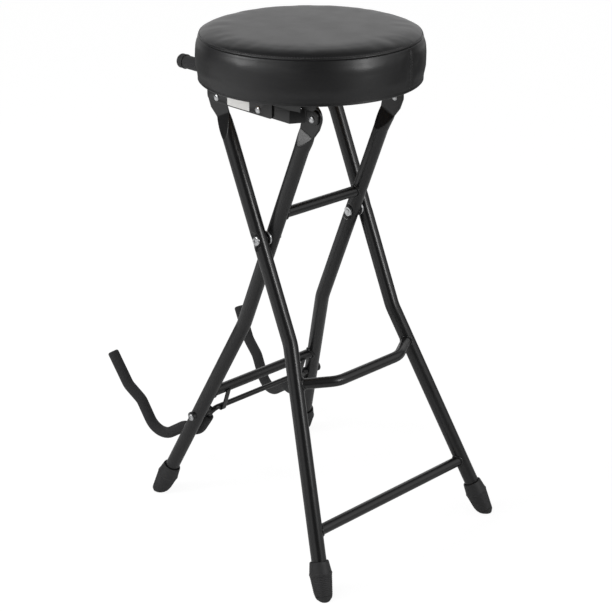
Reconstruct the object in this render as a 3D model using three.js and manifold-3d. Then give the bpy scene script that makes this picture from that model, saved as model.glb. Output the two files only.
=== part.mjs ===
// Folding guitar stool. Two leg frames cross like scissors, a round padded seat flips up as they
// close, a cradle at the rear holds a guitar's body and a fork under the seat holds its neck.
// Millimetres, +Z up, floor at z = 0, the sitter faces -Y. While it is being built the
// seat's centre line is x = 0, y = 0; the finished stool is moved so its box stands on the origin.
// Left (-X) and right (+X) are as seen by someone who stands in front of the footrest.
import * as THREE from 'three';
import { mergeVertices } from 'three/addons/utils/BufferGeometryUtils.js';
import Module from 'manifold-3d';

const wasm = await Module();
wasm.setup();

// Fits shared by all pieces
const clearance = 0.3;
const overrun = 3;

// Heights of the three seat pivots and of the crossing, and how far the feet reach from it. The
// legs' pivots lie a little past their tubes' centre lines.
const pivotHeight = 662;
const crossHeight = 471;
const crossForward = 6.8;
const pivotPastTube = 4;
const innerPivotPastTube = 5.65;
const outerFootReach = 208.6;
const innerFootReach = 193.7;

// Leg tubes, with a splay below a bend and a flattened tab at the top. The inner legs come
// nearer to each other by their lean, from the crossing up to the pivots.
const legRadius = 11;
const legWall = 1.5;
const legBendRadius = 70;
const outerHalfWidth = 105.1;
const outerFootHalfWidth = 175.4;
const outerBendHeight = 327.7;
const innerFootHalfWidth = 157.4;
const innerBendHeight = 310.9;
const innerLean = 2.2;
const tabThickness = 3.4;
const tabHalfWidth = 18;
const outerTabShift = 6.5;
const innerTabShift = 2;
const tabAbovePivot = 3;
const tabBelowPivot = 8;
const creaseBelowPivot = 24;
const creaseHalfWidth = 14;
const innerTabOutset = 1.5;

// Cross tubes
const barRadius = 8;
const barWall = 1.2;
const upperBarHeight = 507.5;
const rearBarAboveCradle = 39.4;
const frontBarHeight = 84.7;
const footrestHeight = 276;
const footrestBow = 33;
const footrestStraight = 63;
const footrestBendRadius = 40;

// Rubber foot tips
const tipLength = 54;
const tipSole = 9;
const tipRimRadius = 13.9;
const tipBellyRadius = 16.6;
const tipBellyAbove = 36;
const tipNoseRadius = 12.8;
const tipRimRound = 1.6;

// Bolts through the crossing legs
const crossBoltRadius = 4;
const crossHeadRadius = 7.2;
const crossHeadHeight = 3.2;
const crossRecessRadius = 3;
const crossRecessDepth = 1.8;
const crossNutRadius = 7.6;
const crossNutHeight = 4;
const crossNutProud = 0.8;
const spacerThickness = 2.7;
const spacerRadius = 10.5;
const saddleRadius = 9.4;
const saddleCrest = 0.6;

// Seat
const seatRadius = 160;
const seatAbovePivot = 29;
const seatBandHeight = 59.5;
const seatCrownRise = 14.5;
const seatBandBulge = 1;
const seatSeamDrawIn = 2.6;
const seatBottomDrawIn = 3.2;
const seatPlateauRadius = 118;
const seatShoulderRise = 11;
const seatShoulderDrawIn = 7;
const boardRadius = 150;
const boardThickness = 12;

// Steel rails under the seat, each with a flange screwed to the board
const railThickness = 2;
const railOutset = 0.9;
const railBelowPivot = 7.4;
const railBehindPivot = 20;
const railAheadOfMiddle = 29;
const railFlangeWidth = 22;
const railCornerRadius = 9;
const flangeCornerRadius = 6;

// Links from the middle of each rail to the inner legs
const linkThickness = 3;
const linkBelow = 7.2;
const linkAbove = 12.3;
const linkJoggleStart = 53;
const linkJoggleLength = 10;
const linkEndPast = 12;
const linkCornerRadius = 7;

// Rivets
const rivetRadius = 3.2;
const rivetHeadRadius = 5.2;
const rivetHeadHeight = 2.2;

// Screws
const screwRadius = 2.1;
const screwLength = 11.5;
const screwHeadRadius = 4.4;
const screwHeadHeight = 2.4;
const railScrewInset = 11;

// Cradle: one bent rod with a foam sleeve on each arm, turning on two bolts in the inner legs.
// The arm's corners are given behind and above the rod's cross run, from the pivot end to the tip.
const cradlePivotHeight = 146.6;
const cradleRodRadius = 4.3;
const cradleRodForward = 7.6;
const cradleRodAbove = 4.4;
const cradleHalfWidth = 97.8;
const cradleTipHalfWidth = 136;
const cradleCrankRadius = 12;
const armReachLow = 31;
const armReachHump = 58;
const armReachTrough = 115.6;
const armReachStep = 149.4;
const armReachRise = 176.5;
const armReachTip = 206;
const armDropLow = 49;
const armDropHump = 48.5;
const armDropTrough = 88.9;
const armDropStep = 29.7;
const armDropRise = 10.4;
const armRiseTip = 38;
const armBendRadius = 24;
const armTroughBendRadius = 32;
const sleeveRadius = 9;
const sleeveStart = 17;
const sleeveEndWall = 5;
const bossRadius = 6.6;
const bossLength = 13;
const bossInset = 2.2;
const cradleBoltRadius = 3;
const cradleHeadRadius = 6;
const cradleHeadHeight = 3.4;
const cradleRecessRadius = 2.4;
const cradleRecessDepth = 1.5;
const cradleSaddleRadius = 8;

// Stop strips on the cradle's rod, which bear on the front of the rear bar
const stopOffset = 80;
const stopWidth = 8;
const stopThickness = 2.4;
const stopPastBar = 3;
const stopHookAngle = 2.4;

// Neck rest: a fork that slides out from under the seat through two guides
const forkRodRadius = 4;
const forkBelowSeat = 18;
const forkHalfGap = 35;
const forkCornerRadius = 12;
const forkTipReach = 249;
const neckTravel = 95;
const neckSleeveRadius = 10;
const neckSleeveWall = 1.6;
const neckCapRadius = 11.4;
const neckCapLength = 13;
const neckCapRound = 5;
const guideStart = 4;
const guidePitch = 48;
const guideLength = 14;
const guidePlate = 4;
const guideHumpRadius = 9;
const guideHalfWidth = 55;
const guideScrewOffset = 49.5;

// Facets on round sections, rings in a bend and steps round a turned piece
const legSides = 14;
const barSides = 12;
const rodSides = 8;
const foamSides = 10;
const boreSides = 6;
const bendSteps = 4;
const armSteps = 3;
const turnSteps = 12;
const seatSteps = 40;
const seatProfileSteps = 5;
const screwSteps = 8;
const cornerSteps = 4;
const hookSteps = 6;
const hexSides = 6;

// How far the pressed slopes run along the tube for their depth, and where their rings lie
const pressRunShare = 2.75;
const pressRingShares = [0.82, 0.6, 0.4, 0.2, 0];
// How much of the tab's own shift the crease below it has
const creaseShiftShare = 0.5;
// How the tab's round end narrows, as angles in shares of a quarter turn
const tabEndShares = [0.3, 0.55, 0.75, 0.92];
// Heights and widths of a domed head's bevels, in shares of its height and radius
const domeShares = [0.5, 0.8];
const screwCrownShare = 0.5;
const rivetBevelHeightShare = 0.6;
const rivetBevelRadiusShare = 0.86;
const rivetCrownShare = 0.4;
const upsetHeightShare = 0.5;
const upsetRadiusShare = 0.8;
// How the foam's closed tip rounds off, as angles in shares of a quarter turn
const foamTipShares = [0.4, 0.75];

// Places that follow from the sizes
const crossY = -crossForward;
const pivotReach = outerFootReach * (pivotHeight / crossHeight - 1) + pivotPastTube;
const innerPivotReach = innerFootReach * (pivotHeight / crossHeight - 1) + innerPivotPastTube;
const rearBarHeight = cradlePivotHeight + rearBarAboveCradle;
const seatBottomHeight = pivotHeight + seatAbovePivot;
const seatSeamHeight = seatBottomHeight + seatBandHeight;
const seatCrownHeight = seatSeamHeight + seatCrownRise;
const railBottomHeight = pivotHeight - railBelowPivot;
const forkHeight = seatBottomHeight - forkBelowSeat;
const innerHalfWidth = outerHalfWidth - 2 * legRadius - spacerThickness - 2 * clearance;
const railOuterFace = outerHalfWidth + railOutset;
const railInnerFace = railOuterFace - railThickness;
const outerTabMiddle = railInnerFace - clearance - tabThickness / 2;
const linkMiddleAtRail = railInnerFace - clearance - linkThickness / 2;
const innerTabMiddle = innerHalfWidth - innerLean + innerTabOutset;
const linkMiddleAtTab = innerTabMiddle + tabThickness / 2 + clearance + linkThickness / 2;

// Colours and finishes
const powderBlack = new THREE.MeshStandardMaterial({ color: 0x1c1c1d, roughness: 0.45, metalness: 0.3 });
const zinc = new THREE.MeshStandardMaterial({ color: 0xc9cacb, roughness: 0.3, metalness: 0.9 });
const rubber = new THREE.MeshStandardMaterial({ color: 0x232324, roughness: 0.8, metalness: 0 });
const foam = new THREE.MeshStandardMaterial({ color: 0x262627, roughness: 0.9, metalness: 0 });
const vinyl = new THREE.MeshStandardMaterial({ color: 0x222223, roughness: 0.42, metalness: 0 });
const plywood = new THREE.MeshStandardMaterial({ color: 0xb58f5e, roughness: 0.7, metalness: 0 });
const nylon = new THREE.MeshStandardMaterial({ color: 0x17181a, roughness: 0.5, metalness: 0 });

// Solids and booleans

// A closed shape with shared corners merged, ready to be cut or joined.
function welded(geometry) {
  const bare = geometry.clone();
  for (const name of Object.keys(bare.attributes)) {
    if (name !== 'position') bare.deleteAttribute(name);
  }
  return mergeVertices(bare);
}

function toSolid(geometry) {
  const shape = welded(geometry);
  return new wasm.Manifold(new wasm.Mesh({
    numProp: 3,
    vertProperties: new Float32Array(shape.attributes.position.array),
    triVerts: new Uint32Array(shape.index.array),
  }));
}

function toGeometry(solid) {
  const mesh = solid.getMesh();
  const geometry = new THREE.BufferGeometry();
  geometry.setAttribute('position', new THREE.BufferAttribute(mesh.vertProperties, 3));
  geometry.setIndex(new THREE.BufferAttribute(mesh.triVerts, 1));
  return geometry;
}

function cut(geometry, ...cutters) {
  return toGeometry(cutters.reduce((body, cutter) => body.subtract(toSolid(cutter)), toSolid(geometry)));
}

function join(geometry, ...others) {
  return toGeometry(others.reduce((body, other) => body.add(toSolid(other)), toSolid(geometry)));
}

function common(first, second) {
  return toGeometry(toSolid(first).intersect(toSolid(second)));
}

// The same piece on the other side of the stool, with its faces still pointing out.
function mirrored(geometry) {
  const copy = welded(geometry);
  copy.scale(-1, 1, 1);
  const corners = copy.index.array;
  for (let i = 0; i < corners.length; i += 3) {
    [corners[i], corners[i + 1]] = [corners[i + 1], corners[i]];
  }
  return copy;
}

// Sweeps

// Straight runs between corners, joined by bends. Gives points with their directions.
function bentRun(corners, radii, steps = bendSteps) {
  const stations = [];
  const last = corners.length - 1;
  const radiusAt = (i) => (Array.isArray(radii) ? radii[i - 1] : radii);
  const direction = (i) => corners[i + 1].clone().sub(corners[i]).normalize();
  stations.push({ point: corners[0].clone(), direction: direction(0) });
  for (let i = 1; i < last; i += 1) {
    const before = direction(i - 1);
    const after = direction(i);
    const turn = before.angleTo(after);
    const radius = radiusAt(i);
    const start = corners[i].clone().addScaledVector(before, -radius * Math.tan(turn / 2));
    const sideways = after.clone().addScaledVector(before, -Math.cos(turn)).normalize();
    for (let k = 0; k <= steps; k += 1) {
      const angle = (turn * k) / steps;
      stations.push({
        point: start.clone()
          .addScaledVector(before, radius * Math.sin(angle))
          .addScaledVector(sideways, radius * (1 - Math.cos(angle))),
        direction: before.clone().multiplyScalar(Math.cos(angle))
          .addScaledVector(sideways, Math.sin(angle)),
      });
    }
  }
  stations.push({ point: corners[last].clone(), direction: direction(last - 1) });
  return stations;
}

// A ring of points across a station. The first section axis lies as near as it can to 'across'.
function ringAt(station, section, across) {
  const first = across.clone().addScaledVector(station.direction, -across.dot(station.direction));
  first.normalize();
  const second = station.direction.clone().cross(first);
  return section.map(([a, b]) => station.point.clone()
    .addScaledVector(first, a)
    .addScaledVector(second, b));
}

function circle(radius, sides) {
  return Array.from({ length: sides }, (_, i) => {
    const angle = (2 * Math.PI * i) / sides;
    return [radius * Math.cos(angle), radius * Math.sin(angle)];
  });
}

// A closed skin over rings of equal count, flat at both ends.
function skin(rings) {
  const count = rings[0].length;
  const positions = rings.flat().flatMap((p) => [p.x, p.y, p.z]);
  const faces = [];
  for (let r = 0; r + 1 < rings.length; r += 1) {
    for (let i = 0; i < count; i += 1) {
      const a = r * count + i;
      const b = r * count + ((i + 1) % count);
      faces.push(a, b, a + count, b, b + count, a + count);
    }
  }
  const lastRing = (rings.length - 1) * count;
  for (let i = 1; i + 1 < count; i += 1) {
    faces.push(0, i + 1, i);
    faces.push(lastRing, lastRing + i, lastRing + i + 1);
  }
  const geometry = new THREE.BufferGeometry();
  geometry.setAttribute('position', new THREE.Float32BufferAttribute(positions, 3));
  geometry.setIndex(faces);
  return geometry;
}

function roundSweep(stations, radius, sides, across) {
  return skin(stations.map((station) => ringAt(station, circle(radius, sides), across)));
}

// The stations with both ends pushed outwards, so that a bore runs past the faces it opens.
function pastEnds(stations, distance) {
  const copy = stations.map((s) => ({ point: s.point.clone(), direction: s.direction }));
  copy[0].point.addScaledVector(copy[0].direction, -distance);
  copy.at(-1).point.addScaledVector(copy.at(-1).direction, distance);
  return copy;
}

function tubeSweep(stations, radius, wall, sides, across) {
  const bore = roundSweep(pastEnds(stations, overrun), radius - wall, sides, across);
  return cut(roundSweep(stations, radius, sides, across), bore);
}

// Turned pieces and plates along X

// The radius of a faceted bore whose flats keep the clearance round a pin.
function around(radius, steps = turnSteps) {
  return (radius + clearance) / Math.cos(Math.PI / steps);
}

// A piece turned about the X axis. Each profile point is [distance along X, radius].
function turned(profile, steps = turnSteps) {
  const geometry = new THREE.LatheGeometry(profile.map(([x, r]) => new THREE.Vector2(r, x)), steps);
  return geometry.rotateZ(-Math.PI / 2);
}

function pin(radius, from, to, steps = turnSteps) {
  return turned([[from, 0], [from, radius], [to, radius], [to, 0]], steps);
}

function movedTo(geometry, x, y, z) {
  return geometry.translate(x, y, z);
}

// A plate cut to an outline in (y, z) and lying between two values of x.
function plateAcrossX(shape, fromX, toX) {
  const depth = toX - fromX;
  const geometry = new THREE.ExtrudeGeometry(
    shape, { depth, bevelEnabled: false, curveSegments: cornerSteps });
  geometry.applyMatrix4(new THREE.Matrix4().makeBasis(
    new THREE.Vector3(0, 1, 0), new THREE.Vector3(0, 0, 1), new THREE.Vector3(1, 0, 0)));
  return geometry.translate(fromX, 0, 0);
}

// A plate cut to an outline in (x, y) and lying between two heights.
function plateAcrossZ(shape, fromZ, toZ) {
  const depth = toZ - fromZ;
  return new THREE.ExtrudeGeometry(shape, { depth, bevelEnabled: false, curveSegments: cornerSteps })
    .translate(0, 0, fromZ);
}

function circleHole(x, y, radius) {
  return new THREE.Path(circle(radius, turnSteps).map(([a, b]) => new THREE.Vector2(x + a, y + b)));
}

// A rectangle with its own radius at each corner, from the lower left corner anticlockwise.
function roundedRectangle(left, bottom, right, top, radii) {
  const [a, b, c, d] = radii;
  const shape = new THREE.Shape();
  shape.moveTo(left + a, bottom);
  shape.lineTo(right - b, bottom);
  if (b > 0) shape.absarc(right - b, bottom + b, b, -Math.PI / 2, 0, false);
  shape.lineTo(right, top - c);
  if (c > 0) shape.absarc(right - c, top - c, c, 0, Math.PI / 2, false);
  shape.lineTo(left + d, top);
  if (d > 0) shape.absarc(left + d, top - d, d, Math.PI / 2, Math.PI, false);
  shape.lineTo(left, bottom + a);
  if (a > 0) shape.absarc(left + a, bottom + a, a, Math.PI, 1.5 * Math.PI, false);
  return shape;
}

// A flat strip of one thickness along a line of points, as an outline.
function stripOutline(points, thickness) {
  const side = (sign) => points.map((point, i) => {
    const before = points[Math.max(i - 1, 0)];
    const after = points[Math.min(i + 1, points.length - 1)];
    const into = point.clone().sub(i > 0 ? before : point);
    const out = (i + 1 < points.length ? after : point).clone().sub(point);
    const first = (into.length() > 0 ? into : out).clone().normalize();
    const second = (out.length() > 0 ? out : into).clone().normalize();
    const normal = new THREE.Vector2(-first.y - second.y, first.x + second.x).normalize();
    const reach = thickness / 2 / normal.dot(new THREE.Vector2(-first.y, first.x));
    return point.clone().addScaledVector(normal, sign * reach);
  });
  return new THREE.Shape([...side(-1), ...side(1).reverse()]);
}

// Where the legs run

// Distance along Y of each frame's centre line at a height.
function outerY(height) {
  return crossY - outerFootReach * (1 - height / crossHeight);
}

function innerY(height) {
  return crossY + innerFootReach * (1 - height / crossHeight);
}

const outerLine = {
  yAt: outerY, halfWidth: outerHalfWidth, footHalfWidth: outerFootHalfWidth,
  bendHeight: outerBendHeight, lean: 0, pivotY: crossY + pivotReach, tabMiddle: outerTabMiddle,
  tabShift: outerTabShift,
};
const innerLine = {
  yAt: innerY, halfWidth: innerHalfWidth, footHalfWidth: innerFootHalfWidth,
  bendHeight: innerBendHeight, lean: innerLean, pivotY: crossY - innerPivotReach,
  tabMiddle: innerTabMiddle, tabShift: -innerTabShift,
};

// Half the distance between a frame's legs on their straight upper part, at a height.
function upperHalfWidth(line, height) {
  return line.halfWidth - (line.lean * (height - crossHeight)) / (pivotHeight - crossHeight);
}

// A point on a leg's centre line, on the right side of the stool.
function onLeg(line, height) {
  const splay = Math.max(0, 1 - height / line.bendHeight);
  const upper = upperHalfWidth(line, Math.max(height, line.bendHeight));
  const x = upper + splay * (line.footHalfWidth - upper);
  return new THREE.Vector3(x, line.yAt(height), height);
}

function footDirection(line) {
  return onLeg(line, line.bendHeight).sub(onLeg(line, 0)).normalize();
}

// The leg's centre line from the floor, or from a distance above it, to a height.
function legStations(line, aboveFloor, topHeight) {
  const foot = onLeg(line, 0).addScaledVector(footDirection(line), aboveFloor);
  return bentRun([foot, onLeg(line, line.bendHeight), onLeg(line, topHeight)], legBendRadius);
}

// What a leg fills, with a gap round it, for cutting the tubes that meet it.
function legEnvelope(line) {
  const stations = legStations(line, 0, pivotHeight);
  return roundSweep(stations, legRadius + clearance, legSides, new THREE.Vector3(1, 0, 0));
}

// A piece laid on its side with its axis along a leg's splayed foot, zero at the floor.
function alongFoot(geometry, line) {
  const turn = new THREE.Quaternion().setFromUnitVectors(
    new THREE.Vector3(1, 0, 0), footDirection(line));
  const foot = onLeg(line, 0);
  return geometry.applyQuaternion(turn).translate(foot.x, foot.y, foot.z);
}

// Legs

// The section of a leg's top, squeezed between two faces and widened to a half-width.
function pressedSection(innerFace, outerFace, halfWidth, shift) {
  return circle(1, legSides).map(([a, b]) => [
    Math.min(outerFace, Math.max(innerFace, legRadius * a)), shift + halfWidth * b,
  ]);
}

// One leg: a tube bent out towards its foot, its top pressed into a tab with a round end. The
// tab's faces run down to the tube as two slopes, which leave a straight crease across it.
function makeLeg(line, holes) {
  const across = new THREE.Vector3(1, 0, 0);
  const top = onLeg(line, pivotHeight);
  const up = top.clone().sub(onLeg(line, line.bendHeight)).setX(0).normalize();
  const outerFace = line.tabMiddle - top.x + tabThickness / 2;
  const innerFace = outerFace - tabThickness;
  const pressRun = pressRunShare * (legRadius + Math.max(-outerFace, innerFace));
  const tubeTop = pivotHeight - (creaseBelowPivot + pressRun) * up.z;
  const run = legStations(line, tipSole + clearance, tubeTop);
  const rings = run.map((station) => ringAt(station, circle(legRadius, legSides), across));
  const widthBelow = onLeg(line, tubeTop).x - top.x;
  const addRing = (abovePivot, section, share = 0) => rings.push(ringAt({
    point: top.clone().addScaledVector(up, abovePivot).addScaledVector(across, share * widthBelow),
    direction: up,
  }, section, across));
  for (const share of pressRingShares) {
    const rise = (share * pressRun) / pressRunShare;
    addRing(-creaseBelowPivot - share * pressRun, pressedSection(
      Math.max(-legRadius, innerFace - rise), Math.min(legRadius, outerFace + rise),
      creaseHalfWidth + share * (legRadius - creaseHalfWidth),
      (1 - share) * creaseShiftShare * line.tabShift), share);
  }
  const flat = (halfWidth) => pressedSection(innerFace, outerFace, halfWidth, line.tabShift);
  addRing(-tabBelowPivot, flat(tabHalfWidth));
  addRing(tabAbovePivot, flat(tabHalfWidth));
  for (const share of tabEndShares) {
    const angle = (share * Math.PI) / 2;
    addRing(tabAbovePivot + tabHalfWidth * Math.sin(angle), flat(tabHalfWidth * Math.cos(angle)));
  }
  const bore = roundSweep(pastEnds(run, overrun), legRadius - legWall, legSides, across);
  const pivot = movedTo(pin(around(rivetRadius), -tabHalfWidth, tabHalfWidth),
    line.tabMiddle, line.pivotY, pivotHeight);
  return cut(skin(rings), bore, pivot, ...holes);
}

// A hole through a leg along X for a bolt.
function boltHole(line, height, radius) {
  const at = onLeg(line, height);
  return movedTo(pin(around(radius), -2 * legRadius, 2 * legRadius), at.x, at.y, at.z);
}

// Cross tubes

function makeStraightBar(line, height) {
  const end = onLeg(line, height);
  const other = end.clone().setX(-end.x);
  const envelope = legEnvelope(line);
  const bar = tubeSweep(
    bentRun([other, end], 0), barRadius, barWall, barSides, new THREE.Vector3(0, 0, 1));
  return cut(bar, envelope, mirrored(envelope));
}

// The footrest bows forward between its welded ends, so the shins clear the legs.
function makeFootrest() {
  const end = onLeg(outerLine, footrestHeight);
  const bend = new THREE.Vector3(footrestStraight, end.y - footrestBow, footrestHeight);
  const corners = [end.clone().setX(-end.x), bend.clone().setX(-bend.x), bend, end];
  const stations = bentRun(corners, footrestBendRadius);
  const bar = tubeSweep(stations, barRadius, barWall, barSides, new THREE.Vector3(0, 0, 1));
  const envelope = legEnvelope(outerLine);
  return cut(bar, envelope, mirrored(envelope));
}

// Foot tips: a turned rubber boot, cut flat where it meets the floor.
function makeFootTip(line) {
  const nose = -tipSole;
  const outside = [
    [nose, 0], [nose, tipNoseRadius], [0, tipNoseRadius],
    [tipBellyAbove, tipBellyRadius], [tipLength - tipRimRound, tipRimRadius],
    [tipLength, tipRimRadius - tipRimRound],
  ];
  const socket = around(legRadius);
  const profile = [...outside, [tipLength, socket], [tipSole, socket], [tipSole, 0]];
  const tip = alongFoot(turned(profile), line);
  const below = new THREE.BoxGeometry(4 * tipLength, 4 * tipLength, 2 * tipLength);
  const foot = onLeg(line, 0);
  return cut(tip, movedTo(below, foot.x, foot.y, -tipLength));
}

// Crossing bolts

// The curved washer under a bolt head: a disc whose inner side fits round the leg.
function makeSaddle(line, height, radius, boltRadius, crest) {
  const at = onLeg(line, height);
  const splay = (line.footHalfWidth - upperHalfWidth(line, line.bendHeight)) / line.bendHeight;
  const lean = height < line.bendHeight ? radius * splay : 0;
  const face = legRadius + crest + lean;
  const disc = turned([[0, 0], [0, radius], [face - clearance, radius], [face, radius - clearance],
    [face, 0]]);
  movedTo(disc, at.x, at.y, at.z);
  const hole = movedTo(pin(around(boltRadius), 0, face + overrun), at.x, at.y, at.z);
  const behind = new THREE.BoxGeometry(4 * legRadius, 4 * legRadius, 4 * legRadius);
  const half = movedTo(behind, at.x - 2 * legRadius, at.y, at.z);
  return { geometry: cut(disc, legEnvelope(line), half, hole), face: at.x + face };
}

// A bolt along X with a domed head that has a cross recess, its head's seat at x = 0.
function makeBolt(radius, length, headRadius, headHeight, recessRadius, recessDepth) {
  const dome = domeShares.map((share) => [
    headHeight * Math.sqrt(share), headRadius * Math.sqrt(1 - share * share)]);
  const body = turned([
    [-length, 0], [-length, radius], [0, radius], [0, headRadius], ...dome, [headHeight, 0]]);
  const slot = (turn) => new THREE.BoxGeometry(2 * recessDepth, 2 * recessRadius, recessDepth)
    .rotateX(turn).translate(headHeight, 0, 0);
  return cut(body, slot(0), slot(Math.PI / 2));
}

function makeNut(radius, height, boltRadius) {
  const shape = new THREE.Shape(Array.from({ length: hexSides }, (_, i) => {
    const angle = (2 * Math.PI * i) / hexSides;
    return new THREE.Vector2(radius * Math.cos(angle), radius * Math.sin(angle));
  }));
  shape.holes.push(circleHole(0, 0, around(boltRadius)));
  return plateAcrossX(shape, -height, 0);
}

function makeCrossing() {
  const at = onLeg(outerLine, crossHeight);
  const saddle = makeSaddle(outerLine, crossHeight, saddleRadius, crossBoltRadius, saddleCrest);
  const seat = saddle.face + clearance;
  const nutFace = innerHalfWidth - legRadius - clearance;
  const length = seat - nutFace + crossNutHeight + crossNutProud;
  const bolt = makeBolt(crossBoltRadius, length, crossHeadRadius, crossHeadHeight,
    crossRecessRadius, crossRecessDepth);
  const spacerFrom = innerHalfWidth + legRadius + clearance;
  const bore = around(crossBoltRadius);
  const spacer = turned([[0, bore], [0, spacerRadius], [spacerThickness, spacerRadius],
    [spacerThickness, bore], [0, bore]]);
  return {
    washer: saddle.geometry,
    bolt: movedTo(bolt, seat, at.y, at.z),
    nut: movedTo(makeNut(crossNutRadius, crossNutHeight, crossBoltRadius), nutFace, at.y, at.z),
    spacer: movedTo(spacer, spacerFrom, at.y, at.z),
  };
}

// Seat

// The padded seat: a crowned top, a stitched seam drawn in above a slightly bulging band, and a
// pocket underneath that holds the board.
function makeCushion() {
  const pocketRadius = boardRadius + clearance;
  const pocketTop = seatBottomHeight + boardThickness + clearance;
  const bandRadius = seatRadius + seatBandBulge;
  const seamRadius = seatRadius - seatSeamDrawIn;
  const outline = new THREE.Path();
  outline.moveTo(0, pocketTop);
  outline.lineTo(pocketRadius, pocketTop);
  outline.lineTo(pocketRadius, seatBottomHeight);
  outline.lineTo(seatRadius - seatBottomDrawIn, seatBottomHeight);
  outline.quadraticCurveTo(bandRadius, seatBottomHeight,
    bandRadius, seatBottomHeight + boardThickness);
  outline.bezierCurveTo(bandRadius, (seatBottomHeight + seatSeamHeight) / 2,
    seatRadius, seatSeamHeight - boardThickness, seamRadius, seatSeamHeight);
  outline.quadraticCurveTo(seamRadius - seatShoulderDrawIn, seatSeamHeight + seatShoulderRise,
    seatPlateauRadius, seatSeamHeight + seatShoulderRise);
  outline.quadraticCurveTo(seatPlateauRadius / 2, seatCrownHeight, 0, seatCrownHeight);
  const points = outline.getPoints(seatProfileSteps);
  return new THREE.LatheGeometry(points, seatSteps).rotateX(Math.PI / 2);
}

// Places of the screws, as [x, y], on the right rail and on each guide.
const screwMargin = screwHeadRadius + railScrewInset / 2;
const railFront = crossY - railAheadOfMiddle;
const railBack = crossY + pivotReach + railBehindPivot;
const railScrewX = railInnerFace - railScrewInset;
const railScrewSpots = [railFront + screwMargin, (railFront + railBack) / 2, railBack - screwMargin]
  .map((y) => [railScrewX, y]);
const guideBacks = [guideStart, guideStart + guidePitch];
const guideScrewSpots = guideBacks.flatMap((y) => [-guideScrewOffset, guideScrewOffset]
  .map((x) => [x, y + guideLength / 2]));
const bothRailSpots = [...railScrewSpots, ...railScrewSpots.map(([x, y]) => [-x, y])];

function uprightPin(radius, fromZ, toZ, x, y, steps = screwSteps) {
  return turned([[fromZ, 0], [fromZ, radius], [toZ, radius], [toZ, 0]], steps)
    .rotateY(-Math.PI / 2).translate(x, y, 0);
}

function makeBoard() {
  const top = seatBottomHeight + boardThickness;
  const disc = uprightPin(boardRadius, seatBottomHeight, top, 0, 0, seatSteps);
  const depth = seatBottomHeight + screwLength - railThickness + clearance;
  const holes = [...bothRailSpots, ...guideScrewSpots].map(([x, y]) => uprightPin(
    around(screwRadius, screwSteps), seatBottomHeight - overrun, depth, x, y));
  return cut(disc, ...holes);
}

// A pan-head screw driven upwards into the board, its head seated at a height.
function makeScrew([x, y], seatHeight) {
  const seat = seatHeight - clearance;
  const crown = seat - screwHeadHeight;
  const shoulder = seat - screwHeadHeight * screwCrownShare;
  return turned([
    [crown, 0], [crown, screwHeadRadius * screwCrownShare], [shoulder, screwHeadRadius],
    [seat, screwHeadRadius], [seat, screwRadius], [seat + screwLength, screwRadius],
    [seat + screwLength, 0],
  ], screwSteps).rotateY(-Math.PI / 2).translate(x, y, 0);
}

const railTop = seatBottomHeight - clearance;
const flangeBottom = railTop - railThickness;

// A steel angle: an upright web with the two pivots and a flange under the board.
function makeRail() {
  const web = roundedRectangle(railFront, railBottomHeight, railBack, railTop,
    [railCornerRadius / 2, railCornerRadius, 0, 0]);
  for (const y of [crossY, crossY + pivotReach]) {
    web.holes.push(circleHole(y, pivotHeight, around(rivetRadius)));
  }
  const flange = roundedRectangle(railInnerFace - railFlangeWidth, railFront, railOuterFace, railBack,
    [flangeCornerRadius, 0, 0, flangeCornerRadius]);
  for (const [x, y] of railScrewSpots) flange.holes.push(circleHole(x, y, around(screwRadius)));
  return join(
    plateAcrossX(web, railInnerFace, railOuterFace), plateAcrossZ(flange, flangeBottom, railTop));
}

// A link: a flat bar with a joggle that carries it from the rail in to the inner leg's tab.
function makeLink() {
  const back = crossY + linkEndPast;
  const front = crossY - innerPivotReach - linkEndPast;
  const joggle = [
    [linkMiddleAtRail, back + overrun], [linkMiddleAtRail, crossY - linkJoggleStart],
    [linkMiddleAtTab, crossY - linkJoggleStart - linkJoggleLength],
    [linkMiddleAtTab, front - overrun],
  ].map(([x, y]) => new THREE.Vector2(x, y));
  const bottom = pivotHeight - linkBelow;
  const top = pivotHeight + linkAbove;
  const blank = plateAcrossZ(
    stripOutline(joggle, linkThickness), bottom - overrun, top + overrun);
  const side = roundedRectangle(front, bottom, back, top,
    [linkCornerRadius, linkCornerRadius, linkCornerRadius, linkCornerRadius]);
  for (const y of [crossY, crossY - innerPivotReach]) {
    side.holes.push(circleHole(y, pivotHeight, around(rivetRadius)));
  }
  return common(blank, plateAcrossX(side, 0, outerHalfWidth + legRadius));
}

// A rivet along X: a domed head outside and a flatter upset head inside.
function makeRivet(innerFace, outerFace, y) {
  const inside = innerFace - clearance;
  const outside = outerFace + clearance;
  return movedTo(turned([
    [inside - rivetHeadHeight * upsetHeightShare, 0],
    [inside - rivetHeadHeight * upsetHeightShare, rivetHeadRadius * upsetRadiusShare],
    [inside, rivetHeadRadius], [inside, rivetRadius],
    [outside, rivetRadius], [outside, rivetHeadRadius],
    [outside + rivetHeadHeight * rivetBevelHeightShare, rivetHeadRadius * rivetBevelRadiusShare],
    [outside + rivetHeadHeight, rivetHeadRadius * rivetCrownShare],
    [outside + rivetHeadHeight, 0],
  ]), 0, y, pivotHeight);
}

// The front rivet joins the link to the inner leg. It is made in two halves that meet between
// the two plates, one on the link and one on the leg.
function makeSplitRivet() {
  const y = crossY - innerPivotReach;
  const linkOuter = linkMiddleAtTab + linkThickness / 2;
  const tabInner = innerTabMiddle - tabThickness / 2;
  const split = innerTabMiddle + tabThickness / 2 + clearance / 2;
  const gap = clearance / 2;
  const whole = makeRivet(tabInner, linkOuter, y);
  const reach = outerHalfWidth;
  const keep = (from, to) => new THREE.BoxGeometry(to - from, reach, reach)
    .translate((from + to) / 2, y, pivotHeight);
  return {
    outer: common(whole, keep(split + gap, reach)),
    inner: common(whole, keep(0, split - gap)),
  };
}

// Cradle

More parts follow.
